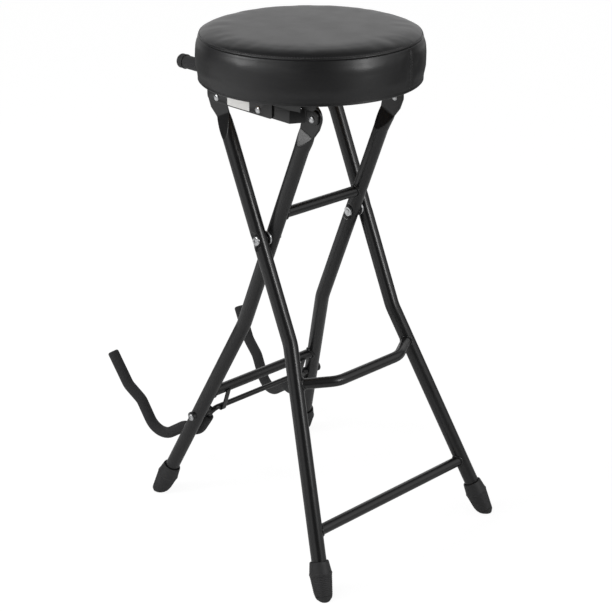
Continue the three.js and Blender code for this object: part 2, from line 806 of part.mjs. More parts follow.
const cradlePivotY = innerY(cradlePivotHeight);
const rodY = cradlePivotY - cradleRodForward;
const rodZ = cradlePivotHeight + cradleRodAbove;
const bossEnd = onLeg(innerLine, cradlePivotHeight).x - legRadius - bossInset;

// Corners of the right arm from its crank to its tip. The arms spread in a straight line.
function armCorners() {
  const spread = (cradleTipHalfWidth - cradleHalfWidth) / armReachTip;
  return [
    [0, 0], [armReachLow, -armDropLow], [armReachHump, -armDropHump],
    [armReachTrough, -armDropTrough], [armReachStep, -armDropStep],
    [armReachRise, -armDropRise], [armReachTip, armRiseTip],
  ].map(([reach, rise]) => new THREE.Vector3(
    cradleHalfWidth + spread * reach, rodY + reach, rodZ + rise));
}

const armRadii = [armBendRadius, armBendRadius, armTroughBendRadius, armBendRadius, armBendRadius];

// The path of a sleeve, shortened at the start and by a wall at the tip.
function sleeveStations(fromCrank, shortAtTip) {
  const corners = armCorners();
  const first = corners[1].clone().sub(corners[0]).normalize();
  corners[0].addScaledVector(first, fromCrank);
  const last = corners.at(-1).clone().sub(corners.at(-2)).normalize();
  corners.at(-1).addScaledVector(last, -shortAtTip);
  return bentRun(corners, armRadii, armSteps);
}

// The rod runs from one tip through both arms to the other, with a boss for each pivot bolt.
function makeCradleRod() {
  const right = armCorners();
  const shortAtTip = sleeveEndWall + clearance;
  const last = right.at(-1).clone().sub(right.at(-2)).normalize();
  right.at(-1).addScaledVector(last, -shortAtTip);
  const left = right.map((p) => p.clone().setX(-p.x)).reverse();
  const radii = [...armRadii].reverse().concat([cradleCrankRadius, cradleCrankRadius], armRadii);
  const rod = roundSweep(
    bentRun([...left, ...right], radii, armSteps), cradleRodRadius, rodSides,
    new THREE.Vector3(0, -1, 1).normalize());
  const boss = movedTo(pin(bossRadius, bossEnd - bossLength, bossEnd), 0, cradlePivotY, cradlePivotHeight);
  const hole = movedTo(pin(around(cradleBoltRadius), bossEnd - bossLength / 2, bossEnd + overrun),
    0, cradlePivotY, cradlePivotHeight);
  return cut(join(rod, boss, mirrored(boss)), hole, mirrored(hole));
}

// A foam sleeve with a rounded, closed tip.
function makeCradleSleeve() {
  const across = new THREE.Vector3(1, 0, 0);
  const run = sleeveStations(sleeveStart, 0);
  const rings = run.map((station) => ringAt(station, circle(sleeveRadius, foamSides), across));
  const tip = run.at(-1);
  for (const share of foamTipShares) {
    const angle = (share * Math.PI) / 2;
    const station = {
      point: tip.point.clone().addScaledVector(tip.direction, sleeveEndWall * Math.sin(angle)),
      direction: tip.direction,
    };
    rings.push(ringAt(station, circle(sleeveRadius * Math.cos(angle), foamSides), across));
  }
  const bore = sleeveStations(sleeveStart - overrun, sleeveEndWall);
  return cut(skin(rings), roundSweep(bore, around(cradleRodRadius, boreSides), boreSides, across));
}

function makeCradleBolt() {
  const saddle = makeSaddle(
    innerLine, cradlePivotHeight, cradleSaddleRadius, cradleBoltRadius, saddleCrest);
  const seat = saddle.face + clearance;
  const length = seat - bossEnd + bossLength / 2 - clearance;
  const bolt = makeBolt(cradleBoltRadius, length, cradleHeadRadius, cradleHeadHeight,
    cradleRecessRadius, cradleRecessDepth);
  return { washer: saddle.geometry, bolt: movedTo(bolt, seat, cradlePivotY, cradlePivotHeight) };
}

// A stop: a strip hooked under the rod that leans on the front of the rear bar.
function makeStop() {
  const bar = new THREE.Vector2(innerY(rearBarHeight), rearBarHeight);
  const rod = new THREE.Vector2(rodY, rodZ);
  const barReach = barRadius + clearance + stopThickness / 2;
  const rodReach = cradleRodRadius + clearance + stopThickness / 2;
  const between = rod.clone().sub(bar);
  const along = between.clone().normalize();
  const forward = new THREE.Vector2(along.y, -along.x);
  const cosine = (barReach - rodReach) / between.length();
  const normal = along.clone().multiplyScalar(cosine)
    .addScaledVector(forward, Math.sqrt(1 - cosine * cosine));
  const down = new THREE.Vector2(-normal.y, normal.x);
  const top = bar.clone().addScaledVector(normal, barReach).addScaledVector(down, -stopPastBar);
  const points = [top];
  for (let k = 0; k <= hookSteps; k += 1) {
    const angle = (stopHookAngle * k) / hookSteps;
    points.push(rod.clone()
      .addScaledVector(normal, rodReach * Math.cos(angle))
      .addScaledVector(down, rodReach * Math.sin(angle)));
  }
  return plateAcrossX(stripOutline(points, stopThickness), stopOffset - stopWidth / 2,
    stopOffset + stopWidth / 2);
}

// Neck rest

const neckSleeveBack = guideStart + guidePitch + guideLength + neckTravel + 2 * clearance;

function makeFork() {
  const crossRun = guideStart - forkCornerRadius - clearance;
  const tip = forkTipReach - neckCapLength / 2;
  const corners = [[forkHalfGap, tip], [forkHalfGap, crossRun], [-forkHalfGap, crossRun],
    [-forkHalfGap, tip]].map(([x, y]) => new THREE.Vector3(x, y, forkHeight));
  return roundSweep(
    bentRun(corners, forkCornerRadius), forkRodRadius, rodSides, new THREE.Vector3(0, 0, 1));
}

// A piece turned about Y round the right prong.
function turnedOnProng(profile) {
  return turned(profile).rotateZ(Math.PI / 2).translate(forkHalfGap, 0, forkHeight);
}

function makeNeckSleeve() {
  const bore = around(forkRodRadius);
  const back = neckSleeveBack;
  const front = forkTipReach - neckCapLength - clearance;
  return turnedOnProng([[back, bore], [back, neckSleeveRadius - neckSleeveWall],
    [back + neckSleeveWall, neckSleeveRadius], [front, neckSleeveRadius], [front, bore], [back, bore]]);
}

// The rounded rubber cap at a prong's tip, with a socket for the rod.
function makeNeckCap() {
  const back = forkTipReach - neckCapLength;
  const round = forkTipReach - neckCapRound;
  const bore = around(forkRodRadius);
  const pocket = forkTipReach - neckCapLength / 2 + clearance;
  const middle = neckCapRadius - neckCapRound * (1 - Math.SQRT1_2);
  return turnedOnProng([[back, bore], [back, neckCapRadius], [round, neckCapRadius],
    [round + neckCapRound * Math.SQRT1_2, middle], [forkTipReach, neckCapRadius - neckCapRound],
    [forkTipReach, 0], [pocket, 0], [pocket, bore], [back, bore]]);
}

// A moulded guide: a plate under the board with a hump and a bore for each prong.
function makeGuide(back) {
  const top = railTop;
  const plate = roundedRectangle(-guideHalfWidth, top - guidePlate, guideHalfWidth, top, [0, 0, 0, 0]);
  const hump = (x) => roundedRectangle(x - guideHumpRadius, forkHeight - guideHumpRadius,
    x + guideHumpRadius, top, [guideHumpRadius, guideHumpRadius, 0, 0]);
  const upright = (shape) => new THREE.ExtrudeGeometry(
    shape, { depth: guideLength, bevelEnabled: false, curveSegments: cornerSteps })
    .rotateX(Math.PI / 2).translate(0, back + guideLength, 0);
  const bores = [-forkHalfGap, forkHalfGap].map((x) => pin(
    around(forkRodRadius), -overrun, guideLength + overrun)
    .rotateZ(Math.PI / 2).translate(x, back, forkHeight));
  const screwHoles = [-guideScrewOffset, guideScrewOffset].map((x) => uprightPin(
    around(screwRadius, screwSteps), top - guidePlate - overrun, top + overrun,
    x, back + guideLength / 2));
  return cut(join(upright(plate), upright(hump(-forkHalfGap)), upright(hump(forkHalfGap))),
    ...bores, ...screwHoles);
}

// Assembly

const stool = new THREE.Group();
stool.name = 'guitar_stool';

function add(name, geometry, material) {
  const shape = welded(geometry);
  shape.computeVertexNormals();
  const mesh = new THREE.Mesh(shape, material);
  mesh.name = name;
  stool.add(mesh);
}

function addPair(name, geometry, material) {
  add(`${name}_right`, geometry, material);
  add(`${name}_left`, mirrored(geometry), material);
}

const crossHoles = (line) => boltHole(line, crossHeight, crossBoltRadius);
addPair('outer_leg', makeLeg(outerLine, [crossHoles(outerLine)]), powderBlack);
addPair('inner_leg', makeLeg(innerLine, [crossHoles(innerLine),
  boltHole(innerLine, cradlePivotHeight, cradleBoltRadius)]), powderBlack);
add('footrest_bar', makeFootrest(), powderBlack);
add('front_stretcher', makeStraightBar(outerLine, frontBarHeight), powderBlack);
add('rear_stretcher', makeStraightBar(innerLine, rearBarHeight), powderBlack);
add('upper_crossbar', makeStraightBar(innerLine, upperBarHeight), powderBlack);
addPair('outer_foot_tip', makeFootTip(outerLine), rubber);
addPair('inner_foot_tip', makeFootTip(innerLine), rubber);

const crossing = makeCrossing();
addPair('crossing_bolt', crossing.bolt, zinc);
addPair('crossing_nut', crossing.nut, zinc);
addPair('crossing_spacer', crossing.spacer, zinc);
addPair('crossing_saddle', crossing.washer, nylon);

add('seat_cushion', makeCushion(), vinyl);
add('seat_board', makeBoard(), plywood);
addPair('seat_rail', makeRail(), powderBlack);
bothRailSpots.forEach((spot, i) => add(`rail_screw_${i + 1}`, makeScrew(spot, flangeBottom), zinc));
addPair('link', makeLink(), powderBlack);
addPair('seat_rivet', makeRivet(
  outerTabMiddle - tabThickness / 2, railOuterFace, crossY + pivotReach), zinc);
addPair('link_rivet', makeRivet(
  linkMiddleAtRail - linkThickness / 2, railOuterFace, crossY), zinc);
const splitRivet = makeSplitRivet();
addPair('front_rivet_outer', splitRivet.outer, zinc);
addPair('front_rivet_inner', splitRivet.inner, zinc);

add('cradle_rod', makeCradleRod(), powderBlack);
addPair('cradle_sleeve', makeCradleSleeve(), foam);
addPair('cradle_stop', makeStop(), powderBlack);
const cradleBolt = makeCradleBolt();
addPair('cradle_bolt', cradleBolt.bolt, zinc);
addPair('cradle_saddle', cradleBolt.washer, nylon);

add('neck_fork', makeFork(), powderBlack);
addPair('neck_sleeve', makeNeckSleeve(), foam);
addPair('neck_cap', makeNeckCap(), rubber);
add('neck_guide_front', makeGuide(guideBacks[0]), nylon);
add('neck_guide_rear', makeGuide(guideBacks[1]), nylon);
guideScrewSpots.forEach((spot, i) => add(
  `guide_screw_${i + 1}`, makeScrew(spot, railTop - guidePlate), zinc));

// Stand the stool's box on the origin.
const box = new THREE.Box3().setFromObject(stool);
stool.position.y = -(box.min.y + box.max.y) / 2;

export default stool;
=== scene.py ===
"""The visible pieces of a folding guitar stool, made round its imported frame.

Sizes in this file are millimetres and degrees unless a property says otherwise. Places are
measured from the seat's centre line and the floor, and place() turns them into the frame's metres.
"""

import math
from contextlib import contextmanager

import bmesh
import bpy
from mathutils import Euler, Matrix, Vector, noise
from mathutils.bvhtree import BVHTree
from mathutils.kdtree import KDTree


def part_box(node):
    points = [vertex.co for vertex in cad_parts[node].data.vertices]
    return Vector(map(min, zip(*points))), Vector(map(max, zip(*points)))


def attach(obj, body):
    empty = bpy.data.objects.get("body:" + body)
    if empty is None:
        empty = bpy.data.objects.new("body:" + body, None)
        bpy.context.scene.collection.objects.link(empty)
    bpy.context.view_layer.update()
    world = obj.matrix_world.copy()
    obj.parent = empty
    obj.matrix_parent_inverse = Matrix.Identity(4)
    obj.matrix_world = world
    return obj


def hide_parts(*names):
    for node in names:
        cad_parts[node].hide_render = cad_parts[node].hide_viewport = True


bl_info = {
    "name": "Folding guitar stool",
    "version": (1, 0, 0),
    "blender": (4, 5, 0),
    "location": "View3D > Sidebar > Stool",
    "description": "Makes the visible pieces of a folding guitar stool",
    "category": "Add Mesh",
}

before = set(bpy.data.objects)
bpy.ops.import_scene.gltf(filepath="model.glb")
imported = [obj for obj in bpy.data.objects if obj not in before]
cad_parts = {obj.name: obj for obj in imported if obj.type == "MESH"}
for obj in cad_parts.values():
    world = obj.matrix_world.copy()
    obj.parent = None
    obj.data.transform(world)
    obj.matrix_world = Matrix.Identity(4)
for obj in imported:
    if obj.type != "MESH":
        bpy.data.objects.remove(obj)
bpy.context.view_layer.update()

MM = 0.001
seat_low, seat_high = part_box("seat_cushion")
SEAT_MIDDLE = (seat_low.y + seat_high.y) / 2

# ---------------------------------------------------------------- sizes of the frame
# The legs' crossing, and the pivots above it.
CROSS_HEIGHT = 471.0
CROSS_Y = -6.8
PIVOT_HEIGHT = 662.0
PIVOT_REACH = 88.59
FRONT_PIVOT_REACH = 84.2
# The leg tube, and the tab pressed into its top.
LEG_RADIUS = 11.0
LEG_BEND_RADIUS = 70.0
TAB_THICKNESS = 3.4
TAB_HALF_WIDTH = 18.0
CREASE_SHIFT = 0.5
TAB_ABOVE_PIVOT = 3.0
TAB_BELOW_PIVOT = 8.0
CREASE_BELOW_PIVOT = 24.0
CREASE_HALF_WIDTH = 14.0
PRESS_RUN = 2.75
# The seat rails, and what is riveted to them.
RAIL_FACE = 106.0
RAIL_TOP = 690.7
FLANGE_BOTTOM = 688.7
GUIDE_BOTTOM = 686.7
LINK_OUTER_FACE = 84.1
TAB_INNER_FACE = 77.4
# The press marks round the crossing bolts: their floor from the tube's middle, and their size.
DIMPLE_FLOOR = 5.8
DIMPLE_RADIUS = 8.3
CROSSING_WASHER = 0.8
# The links' joggle, how far it is brought forward, and the plane that halves the front rivets.
JOGGLE_BACK = -52.0
JOGGLE_FRONT = -78.0
JOGGLE_MOVE = 8.0
SPLIT_PLANE = 80.95
# The cross tubes.
BAR_HEIGHTS = {"front_stretcher": 84.7, "rear_stretcher": 186.0, "upper_crossbar": 507.5}
FOOTREST_HEIGHT = 276.0
FOOTREST_BOW = 33.0
FOOTREST_STRAIGHT = 63.0
FOOTREST_BEND = 40.0
# The foot tips, along the leg from where its middle meets the floor.
TIP_LENGTH = 54.0
TIP_SOLE = 9.0
TIP_BELLY = 36.0
TIP_RADII = {"sole": 12.8, "belly": 16.6, "rim": 13.9}
RIBS_FROM, RIBS_TO = 4.5, 33.0
RIB_DEPTH = 0.55
CRADLE_PIVOT_HEIGHT = 146.6
SIDES = {"right": 1, "left": -1}


class LegLine:
    """Where one pair of legs runs: its centre line, its splay and its tab."""

    def __init__(
        self, half_widths, bend_height, foot_reach, lean, pivot_reach, tab_middle, tab_shift
    ):
        self.half_width, self.foot_half_width = half_widths
        self.bend_height = bend_height
        self.foot_reach = foot_reach
        self.lean = lean
        self.pivot_y = CROSS_Y + pivot_reach
        self.tab_middle = tab_middle
        self.tab_shift = tab_shift

    def at(self, height):
        """A point on the right leg's centre line."""
        above_cross = (max(height, self.bend_height) - CROSS_HEIGHT) / (PIVOT_HEIGHT - CROSS_HEIGHT)
        upper = self.half_width - self.lean * above_cross
        splay = max(0.0, 1 - height / self.bend_height)
        x = upper + splay * (self.foot_half_width - upper)
        return Vector((x, CROSS_Y + self.foot_reach * (1 - height / CROSS_HEIGHT), height))

    def foot_direction(self):
        """The way up the right leg below its bend."""
        return (self.at(self.bend_height) - self.at(0)).normalized()


OUTER = LegLine((105.1, 175.4), 327.7, -208.6, 0.0, PIVOT_REACH, 102.0, 6.5)
INNER = LegLine((79.8, 157.4), 310.9, 193.7, 2.2, -FRONT_PIVOT_REACH, 79.1, -2.0)
# The cradle: the rod's place, and the right arm's corners as (reach behind the rod, rise).
ROD_Y = INNER.at(CRADLE_PIVOT_HEIGHT).y - 7.6
ROD_Z = CRADLE_PIVOT_HEIGHT + 4.4
ARM_CORNERS = [
    (0, 0), (31, -49), (58, -48.5), (115.6, -88.9), (149.4, -29.7), (176.5, -10.4), (206, 38)
]
ARM_BENDS = [24, 24, 32, 24, 24]
ARM_NEAR, ARM_FAR = 97.8, 136.0
ROD_RADIUS = 4.3
BOSS_END = INNER.at(CRADLE_PIVOT_HEIGHT).x - LEG_RADIUS - 2.2
# The neck rest, along Y from the seat's middle.
FORK_HEIGHT = 673.0
FORK_HALF_GAP = 35.0
FORK_TIP = 249.0
FORK_CROSS_RUN = -8.3
NECK_SLEEVE_BACK = 161.6


# ---------------------------------------------------------------- colours and properties
def linear(code):
    """An sRGB hex colour as linear red, green and blue."""
    channels = [int(code[i : i + 2], 16) / 255 for i in (0, 2, 4)]
    return tuple(c / 12.92 if c <= 0.04045 else ((c + 0.055) / 1.055) ** 2.4 for c in channels)


def colour_property(name, description, code):
    """A finish's colour, given as sRGB hex."""
    return bpy.props.FloatVectorProperty(
        name=name, description=description, default=linear(code), subtype="COLOR", min=0, max=1
    )


def length_property(name, description, default):
    """A size in metres."""
    return bpy.props.FloatProperty(
        name=name, description=description, default=default, min=0,
        subtype="DISTANCE", unit="LENGTH",
    )


def power_property(name, description, default):
    """A lamp's power in watts."""
    return bpy.props.FloatProperty(
        name=name, description=description, default=default, min=0, unit="POWER"
    )


class StoolSizes(bpy.types.PropertyGroup):
    """Sizes that a maker might change"""

    cross_tube: length_property("Cross tube", "Diameter of the footrest and the stretchers", 0.016)
    weld_bead: length_property("Weld bead", "Radius of the bead at each tube joint", 0.0017)
    edge_round: length_property("Edge round", "Rounding on the steel plates' cut edges", 0.0005)
    foam_sleeve: length_property("Foam sleeve", "Diameter of the cradle's foam", 0.018)
    neck_sleeve: length_property("Neck sleeve", "Diameter of the neck rest's foam", 0.020)
    rib_pitch: length_property("Rib pitch", "Distance between the foot tips' ribs", 0.0026)
    stitch_pitch: length_property("Stitch pitch", "Distance between the seat's stitches", 0.0038)
    voxel: length_property("Padding voxel", "Grid that the seat's padding is inflated on", 0.005)
    swell_limit: length_property("Swell limit", "Furthest that the padding may move", 0.006)


class StoolColours(bpy.types.PropertyGroup):
    """Colours of the finishes"""

    powder: colour_property("Powder coat", "Baked coat on the tubes and plates", "19191a")
    zinc: colour_property("Zinc", "Plating on the rivets, bolts and screws", "cfd0d1")
    vinyl: colour_property("Vinyl", "Seat cover", "1a1a1b")
    foam: colour_property("Foam", "Sleeves on the cradle and the neck rest", "2d2d2e")
    rubber: colour_property("Rubber", "Foot tips and neck caps", "2b2b2c")
    nylon: colour_property("Nylon", "Washers, spacers and guides", "161718")
    plywood: colour_property("Plywood", "Board under the seat", "b58f5e")
    thread: colour_property("Thread", "Seat seams", "3a3a3b")
    paper: colour_property("Paper", "Blank label on the left rail", "f6f6f4")


class StoolStudio(bpy.types.PropertyGroup):
    """Stage and light"""

    ambient: bpy.props.FloatProperty(
        name="Ambient", description="Light on dull surfaces from all round", default=0.45, min=0
    )
    key_power: power_property("Key light", "Power of the large soft light", 10.0)
    side_power: power_property("Side light", "Power of the soft box on the left", 7.5)
    strip_power: power_property("Strip light", "Power of the narrow light in front", 15.0)


# ---------------------------------------------------------------- forms
def place(point):
    """A point in millimetres from the seat's centre line and the floor, in the frame's metres."""
    return Vector((point[0] * MM, point[1] * MM + SEAT_MIDDLE, point[2] * MM))


def bent_run(corners, radii, steps):
    """Straight runs between corners, joined by bends: a list of points with their directions."""
    corners = [Vector(c) for c in corners]
    if not isinstance(radii, (list, tuple)):
        radii = [radii] * (len(corners) - 2)
    heading = [(b - a).normalized() for a, b in zip(corners, corners[1:])]
    run = [(corners[0], heading[0])]
    for corner, before, after, radius in zip(corners[1:-1], heading, heading[1:], radii):
        turn = before.angle(after)
        if turn < 1e-4 or radius == 0:
            run.append((corner, (before + after).normalized()))
            continue
        start = corner - before * radius * math.tan(turn / 2)
        sideways = (after - before * math.cos(turn)).normalized()
        for k in range(steps + 1):
            angle = turn * k / steps
            ahead, aside = math.sin(angle), math.cos(angle)
            point = start + before * radius * ahead + sideways * radius * (1 - aside)
            run.append((point, before * aside + sideways * ahead))
    run.append((corners[-1], heading[-1]))
    return run


def eased(profile, radii, steps=5):
    """A profile of (distance, radius) points with its corners rounded."""
    run = bent_run([(a, b, 0) for a, b in profile], radii, steps)
    return [(point.x, point.y) for point, _ in run]


def ring_at(point, direction, section, across):
    """A section's points across a path, its first axis as near to 'across' as it can lie."""
    first = (across - direction * across.dot(direction)).normalized()
    second = direction.cross(first)
    return [point + first * a + second * b for a, b in section]


def turned(count, start=0.0):
    """Angles of a full turn, in even steps."""
    return [2 * math.pi * (i + start) / count for i in range(count)]


def circle(radius, sides):
    """A round section."""
    return [(radius * math.cos(a), radius * math.sin(a)) for a in turned(sides)]


def skin(rings, closed=False):
    """Points and faces over rings of equal count: capped at both ends, or joined end to end."""
    count = len(rings[0])
    points = [p for ring in rings for p in ring]
    faces = []
    for r in range(len(rings) if closed else len(rings) - 1):
        s = (r + 1) % len(rings)
        for i in range(count):
            j = (i + 1) % count
            faces.append((r * count + i, r * count + j, s * count + j, s * count + i))
    if not closed:
        faces.append(tuple(reversed(range(count))))
        faces.append(tuple(range(len(points) - count, len(points))))
    return points, faces


def lathe(profile, origin, axis, steps, closed=False):
    """A piece turned about an axis, from (distance along it, radius) points."""
    axis = Vector(axis).normalized()
    across = Vector((0, 0, 1)) if abs(axis.z) < 0.8 else Vector((0, 1, 0))
    rings = [
        ring_at(Vector(origin) + axis * along, axis, circle(max(radius, 1e-3), steps), across)
        for along, radius in profile
    ]
    return skin(rings, closed)


def flipped(point):
    """A point's mirror image on the stool's other side."""
    return Vector((-point[0], point[1], point[2]))


def sided(form, sign):
    """The right side's form, or its mirror image for the left."""
    points, faces = form
    return form if sign > 0 else ([flipped(p) for p in points], faces)


@contextmanager
def edited(mesh):
    """A mesh opened for editing, and written back afterwards."""
    work = bmesh.new()
    work.from_mesh(mesh)
    yield work
    work.to_mesh(mesh)
    work.free()


def finish_mesh(mesh, crease=32, merge=1e-7):
    """Merges doubles, points the faces out and smooths all but the sharp edges."""
    with edited(mesh) as work:
        bmesh.ops.remove_doubles(work, verts=work.verts, dist=merge)
        bmesh.ops.dissolve_degenerate(work, edges=work.edges, dist=merge)
        bmesh.ops.recalc_face_normals(work, faces=work.faces)
    mesh.shade_smooth()
    mesh.set_sharp_from_angle(angle=math.radians(crease))
    return mesh


def cut_flat(mesh, plane, away, crease=32):
    """Cuts off what lies past a plane, on the side that 'away' points to, and closes the cut."""
    with edited(mesh) as work:
        whole = work.verts[:] + work.edges[:] + work.faces[:]
        cut = bmesh.ops.bisect_plane(
            work, geom=whole, plane_co=plane, plane_no=away, clear_outer=True
        )
        rim = [e for e in cut["geom_cut"] if isinstance(e, bmesh.types.BMEdge)]
        bmesh.ops.contextual_create(work, geom=rim)
    return finish_mesh(mesh, crease)


def mesh_of(form, crease=32):
    """The finished mesh of a form in millimetres."""
    mesh = bpy.data.meshes.new("form")
    mesh.from_pydata([place(p) for p in form[0]], [], form[1])
    return finish_mesh(mesh, crease)


def added(name, data):
    """An object of a mesh, a light or a camera, put in the scene."""
    obj = bpy.data.objects.new(name, data)
    bpy.context.scene.collection.objects.link(obj)
    return obj


def piece(name, mesh, body, material=None, replaces=()):
    """Adds a finished piece that moves with a body of the frame."""
    mesh.name = name
    obj = added(name, mesh)
    if material is not None:
        mesh.materials.clear()
        mesh.materials.append(material)
    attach(obj, body)
    if replaces:
        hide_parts(*replaces)
    return obj


def evaluated(obj):
    """The mesh that an object's modifiers give, on its own."""
    graph = bpy.context.evaluated_depsgraph_get()
    graph.update()
    return bpy.data.meshes.new_from_object(obj.evaluated_get(graph), depsgraph=graph)


def drop(obj):
    """Removes a scratch object, and its mesh if nothing else uses it."""
    mesh = obj.data
    bpy.data.objects.remove(obj)
    if mesh.users == 0:
        bpy.data.meshes.remove(mesh)


# ---------------------------------------------------------------- node trees
def add_node(tree, kind, settings=(), links=()):
    """Adds a node. A setting is an attribute's or an input's value, and a link feeds an input."""
    node = tree.nodes.new(kind)
    for key, value in dict(settings).items():
        if isinstance(key, str) and key not in node.inputs:
            setattr(node, key, value)
        else:
            node.inputs[key].default_value = value
    for key, source in dict(links).items():
        tree.links.new(source, node.inputs[key])
    return node


def growing_tree(name, inputs):
    """An empty Geometry Nodes tree with named inputs, and its two end nodes."""
    tree = bpy.data.node_groups.new(name, "GeometryNodeTree")
    tree.interface.new_socket("Geometry", in_out="INPUT", socket_type="NodeSocketGeometry")
    for label, kind in inputs:
        tree.interface.new_socket(label, in_out="INPUT", socket_type="NodeSocket" + kind)
    tree.interface.new_socket("Geometry", in_out="OUTPUT", socket_type="NodeSocketGeometry")
    given = add_node(tree, "NodeGroupInput")
    result = add_node(tree, "NodeGroupOutput")
    return tree, given.outputs, result.inputs


def end_tree(tree, geometry, material, result):
    """Closes a tree with plain geometry in one finish."""
    real = add_node(tree, "GeometryNodeRealizeInstances", links={"Geometry": geometry})
    done = add_node(
        tree, "GeometryNodeSetMaterial", links={"Geometry": real.outputs[0], "Material": material}
    )
    tree.links.new(done.outputs[0], result[0])


def bent_tube_tree():
    """A round tube along a line of corners, each with its own bend radius."""
    inputs = [
        ("Tube Radius", "Float"), ("Sides", "Int"), ("Bend Steps", "Int"), ("Finish", "Material")
    ]
    tree, given, result = growing_tree("bent tube", inputs)
    bend = add_node(
        tree, "GeometryNodeInputNamedAttribute", {"data_type": "FLOAT", "Name": "bend_radius"}
    )
    line = add_node(tree, "GeometryNodeMeshToCurve", links={"Mesh": given["Geometry"]})
    fillet = add_node(
        tree, "GeometryNodeFilletCurve", {"mode": "POLY"},
        {"Curve": line.outputs[0], "Count": given["Bend Steps"], "Radius": bend.outputs[0]},
    )
    section = add_node(
        tree, "GeometryNodeCurvePrimitiveCircle",
        links={"Resolution": given["Sides"], "Radius": given["Tube Radius"]},
    )
    swept = add_node(
        tree, "GeometryNodeCurveToMesh", {"Fill Caps": True},
        {"Curve": fillet.outputs[0], "Profile Curve": section.outputs[0]},
    )
    end_tree(tree, swept.outputs[0], given["Finish"], result)
    return tree


def weld_tree():
    """A weld bead along a closed line, rippled where each drop of metal set."""
    inputs = [
        ("Bead Radius", "Float"), ("Ripple Pitch", "Float"), ("Ripple", "Float"),
        ("Finish", "Material"),
    ]
    tree, given, result = growing_tree("weld bead", inputs)
    line = add_node(tree, "GeometryNodeMeshToCurve", links={"Mesh": given["Geometry"]})
    even = add_node(
        tree, "GeometryNodeResampleCurve", {"mode": "LENGTH", "Length": 0.0007},
        {"Curve": line.outputs[0]},
    )
    along = add_node(tree, "GeometryNodeSplineParameter")
    turns = add_node(
        tree, "ShaderNodeMath", {"operation": "DIVIDE"},
        {0: along.outputs["Length"], 1: given["Ripple Pitch"]},
    )
    wave = add_node(tree, "ShaderNodeMath", {"operation": "FRACT"}, {0: turns.outputs[0]})
    swell = add_node(
        tree, "ShaderNodeMath", {"operation": "MULTIPLY_ADD", 2: 1.0},
        {0: wave.outputs[0], 1: given["Ripple"]},
    )
    section = add_node(
        tree, "GeometryNodeCurvePrimitiveCircle", {"Resolution": 10},
        {"Radius": given["Bead Radius"]},
    )
    swept = add_node(
        tree, "GeometryNodeCurveToMesh",
        links={
            "Curve": even.outputs[0], "Profile Curve": section.outputs[0],
            "Scale": swell.outputs[0],
        },
    )
    end_tree(tree, swept.outputs[0], given["Finish"], result)
    return tree


def scatter_tree():
    """A small fitting at each point, turned by the point's 'turn' and sized by its 'size'."""
    tree, given, result = growing_tree("scatter", [("Fitting", "Object"), ("Finish", "Material")])
    turn = add_node(
        tree, "GeometryNodeInputNamedAttribute", {"data_type": "FLOAT_VECTOR", "Name": "turn"}
    )
    size = add_node(tree, "GeometryNodeInputNamedAttribute", {"data_type": "FLOAT", "Name": "size"})
    rotation = add_node(tree, "FunctionNodeEulerToRotation", links={0: turn.outputs[0]})
    dots = add_node(tree, "GeometryNodeMeshToPoints", links={"Mesh": given["Geometry"]})
    fitting = add_node(tree, "GeometryNodeObjectInfo", links={"Object": given["Fitting"]})
    spread = add_node(
        tree,
        "GeometryNodeInstanceOnPoints",
        links={
            "Points": dots.outputs[0],
            "Instance": fitting.outputs["Geometry"],
            "Rotation": rotation.outputs[0],
            "Scale": size.outputs[0],
        },
    )
    end_tree(tree, spread.outputs[0], given["Finish"], result)
    return tree


TREE_MAKERS = {"bent tube": bent_tube_tree, "weld bead": weld_tree, "scatter": scatter_tree}


def grown(mesh, tree_name, values, crease=32):
    """The plain mesh that a Geometry Nodes tree makes of a mesh. Inputs are set by identifier."""
    tree = bpy.data.node_groups.get(tree_name) or TREE_MAKERS[tree_name]()
    obj = added("scratch", mesh)
    modifier = obj.modifiers.new(tree_name, "NODES")
    modifier.node_group = tree
    for socket in tree.interface.items_tree:
        if socket.in_out == "INPUT" and socket.name in values:
            modifier[socket.identifier] = values[socket.name]
    made = evaluated(obj)
    obj.modifiers.remove(modifier)
    drop(obj)
    if not made.polygons:
        raise RuntimeError(f"the tree {tree_name} made nothing")
    return finish_mesh(made, crease)


def line_mesh(points, radii=None, closed=False):
    """A line of edges in metres, with the bend radius of each corner."""
    mesh = bpy.data.meshes.new("line")
    edges = [(i, i + 1) for i in range(len(points) - 1)]
    if closed:
        edges.append((len(points) - 1, 0))
    mesh.from_pydata([place(p) for p in points], edges, [])
    if radii is not None:
        attribute = mesh.attributes.new("bend_radius", "FLOAT", "POINT")
        attribute.data.foreach_set("value", [0.0, *[r * MM for r in radii], 0.0])
    return mesh


def bent_tube(corners, radii, radius, finish, sides=48, steps=16):
    """A round tube along its corners, bent at each inner one."""
    values = {"Tube Radius": radius * MM, "Sides": sides, "Bend Steps": steps, "Finish": finish}
    return grown(line_mesh(corners, radii), "bent tube", values)


def scattered(fitting, spots, finish, crease=32):
    """A fitting, made at the origin with its head towards +X, at each (point, turn, size)."""
    mesh = bpy.data.meshes.new("spots")
    mesh.from_pydata([place(point) for point, _, _ in spots], [], [])
    turns = mesh.attributes.new("turn", "FLOAT_VECTOR", "POINT")
    turns.data.foreach_set("vector", [a for _, turn, _ in spots for a in turn])
    sizes = mesh.attributes.new("size", "FLOAT", "POINT")
    sizes.data.foreach_set("value", [size for _, _, size in spots])
    source = added("scratch", fitting)
    made = grown(mesh, "scatter", {"Fitting": source, "Finish": finish}, crease)
    drop(source)
    return made


def at_origin(form, crease=32):
    """A mesh in metres about the origin, for scattering."""
    mesh = bpy.data.meshes.new("fitting")
    mesh.from_pydata([Vector(p) * MM for p in form[0]], [], form[1])
    return finish_mesh(mesh, crease)


HEAD_TURN = {"right": (0, 0, 0), "left": (0, 0, math.pi), "down": (0, math.pi / 2, 0)}


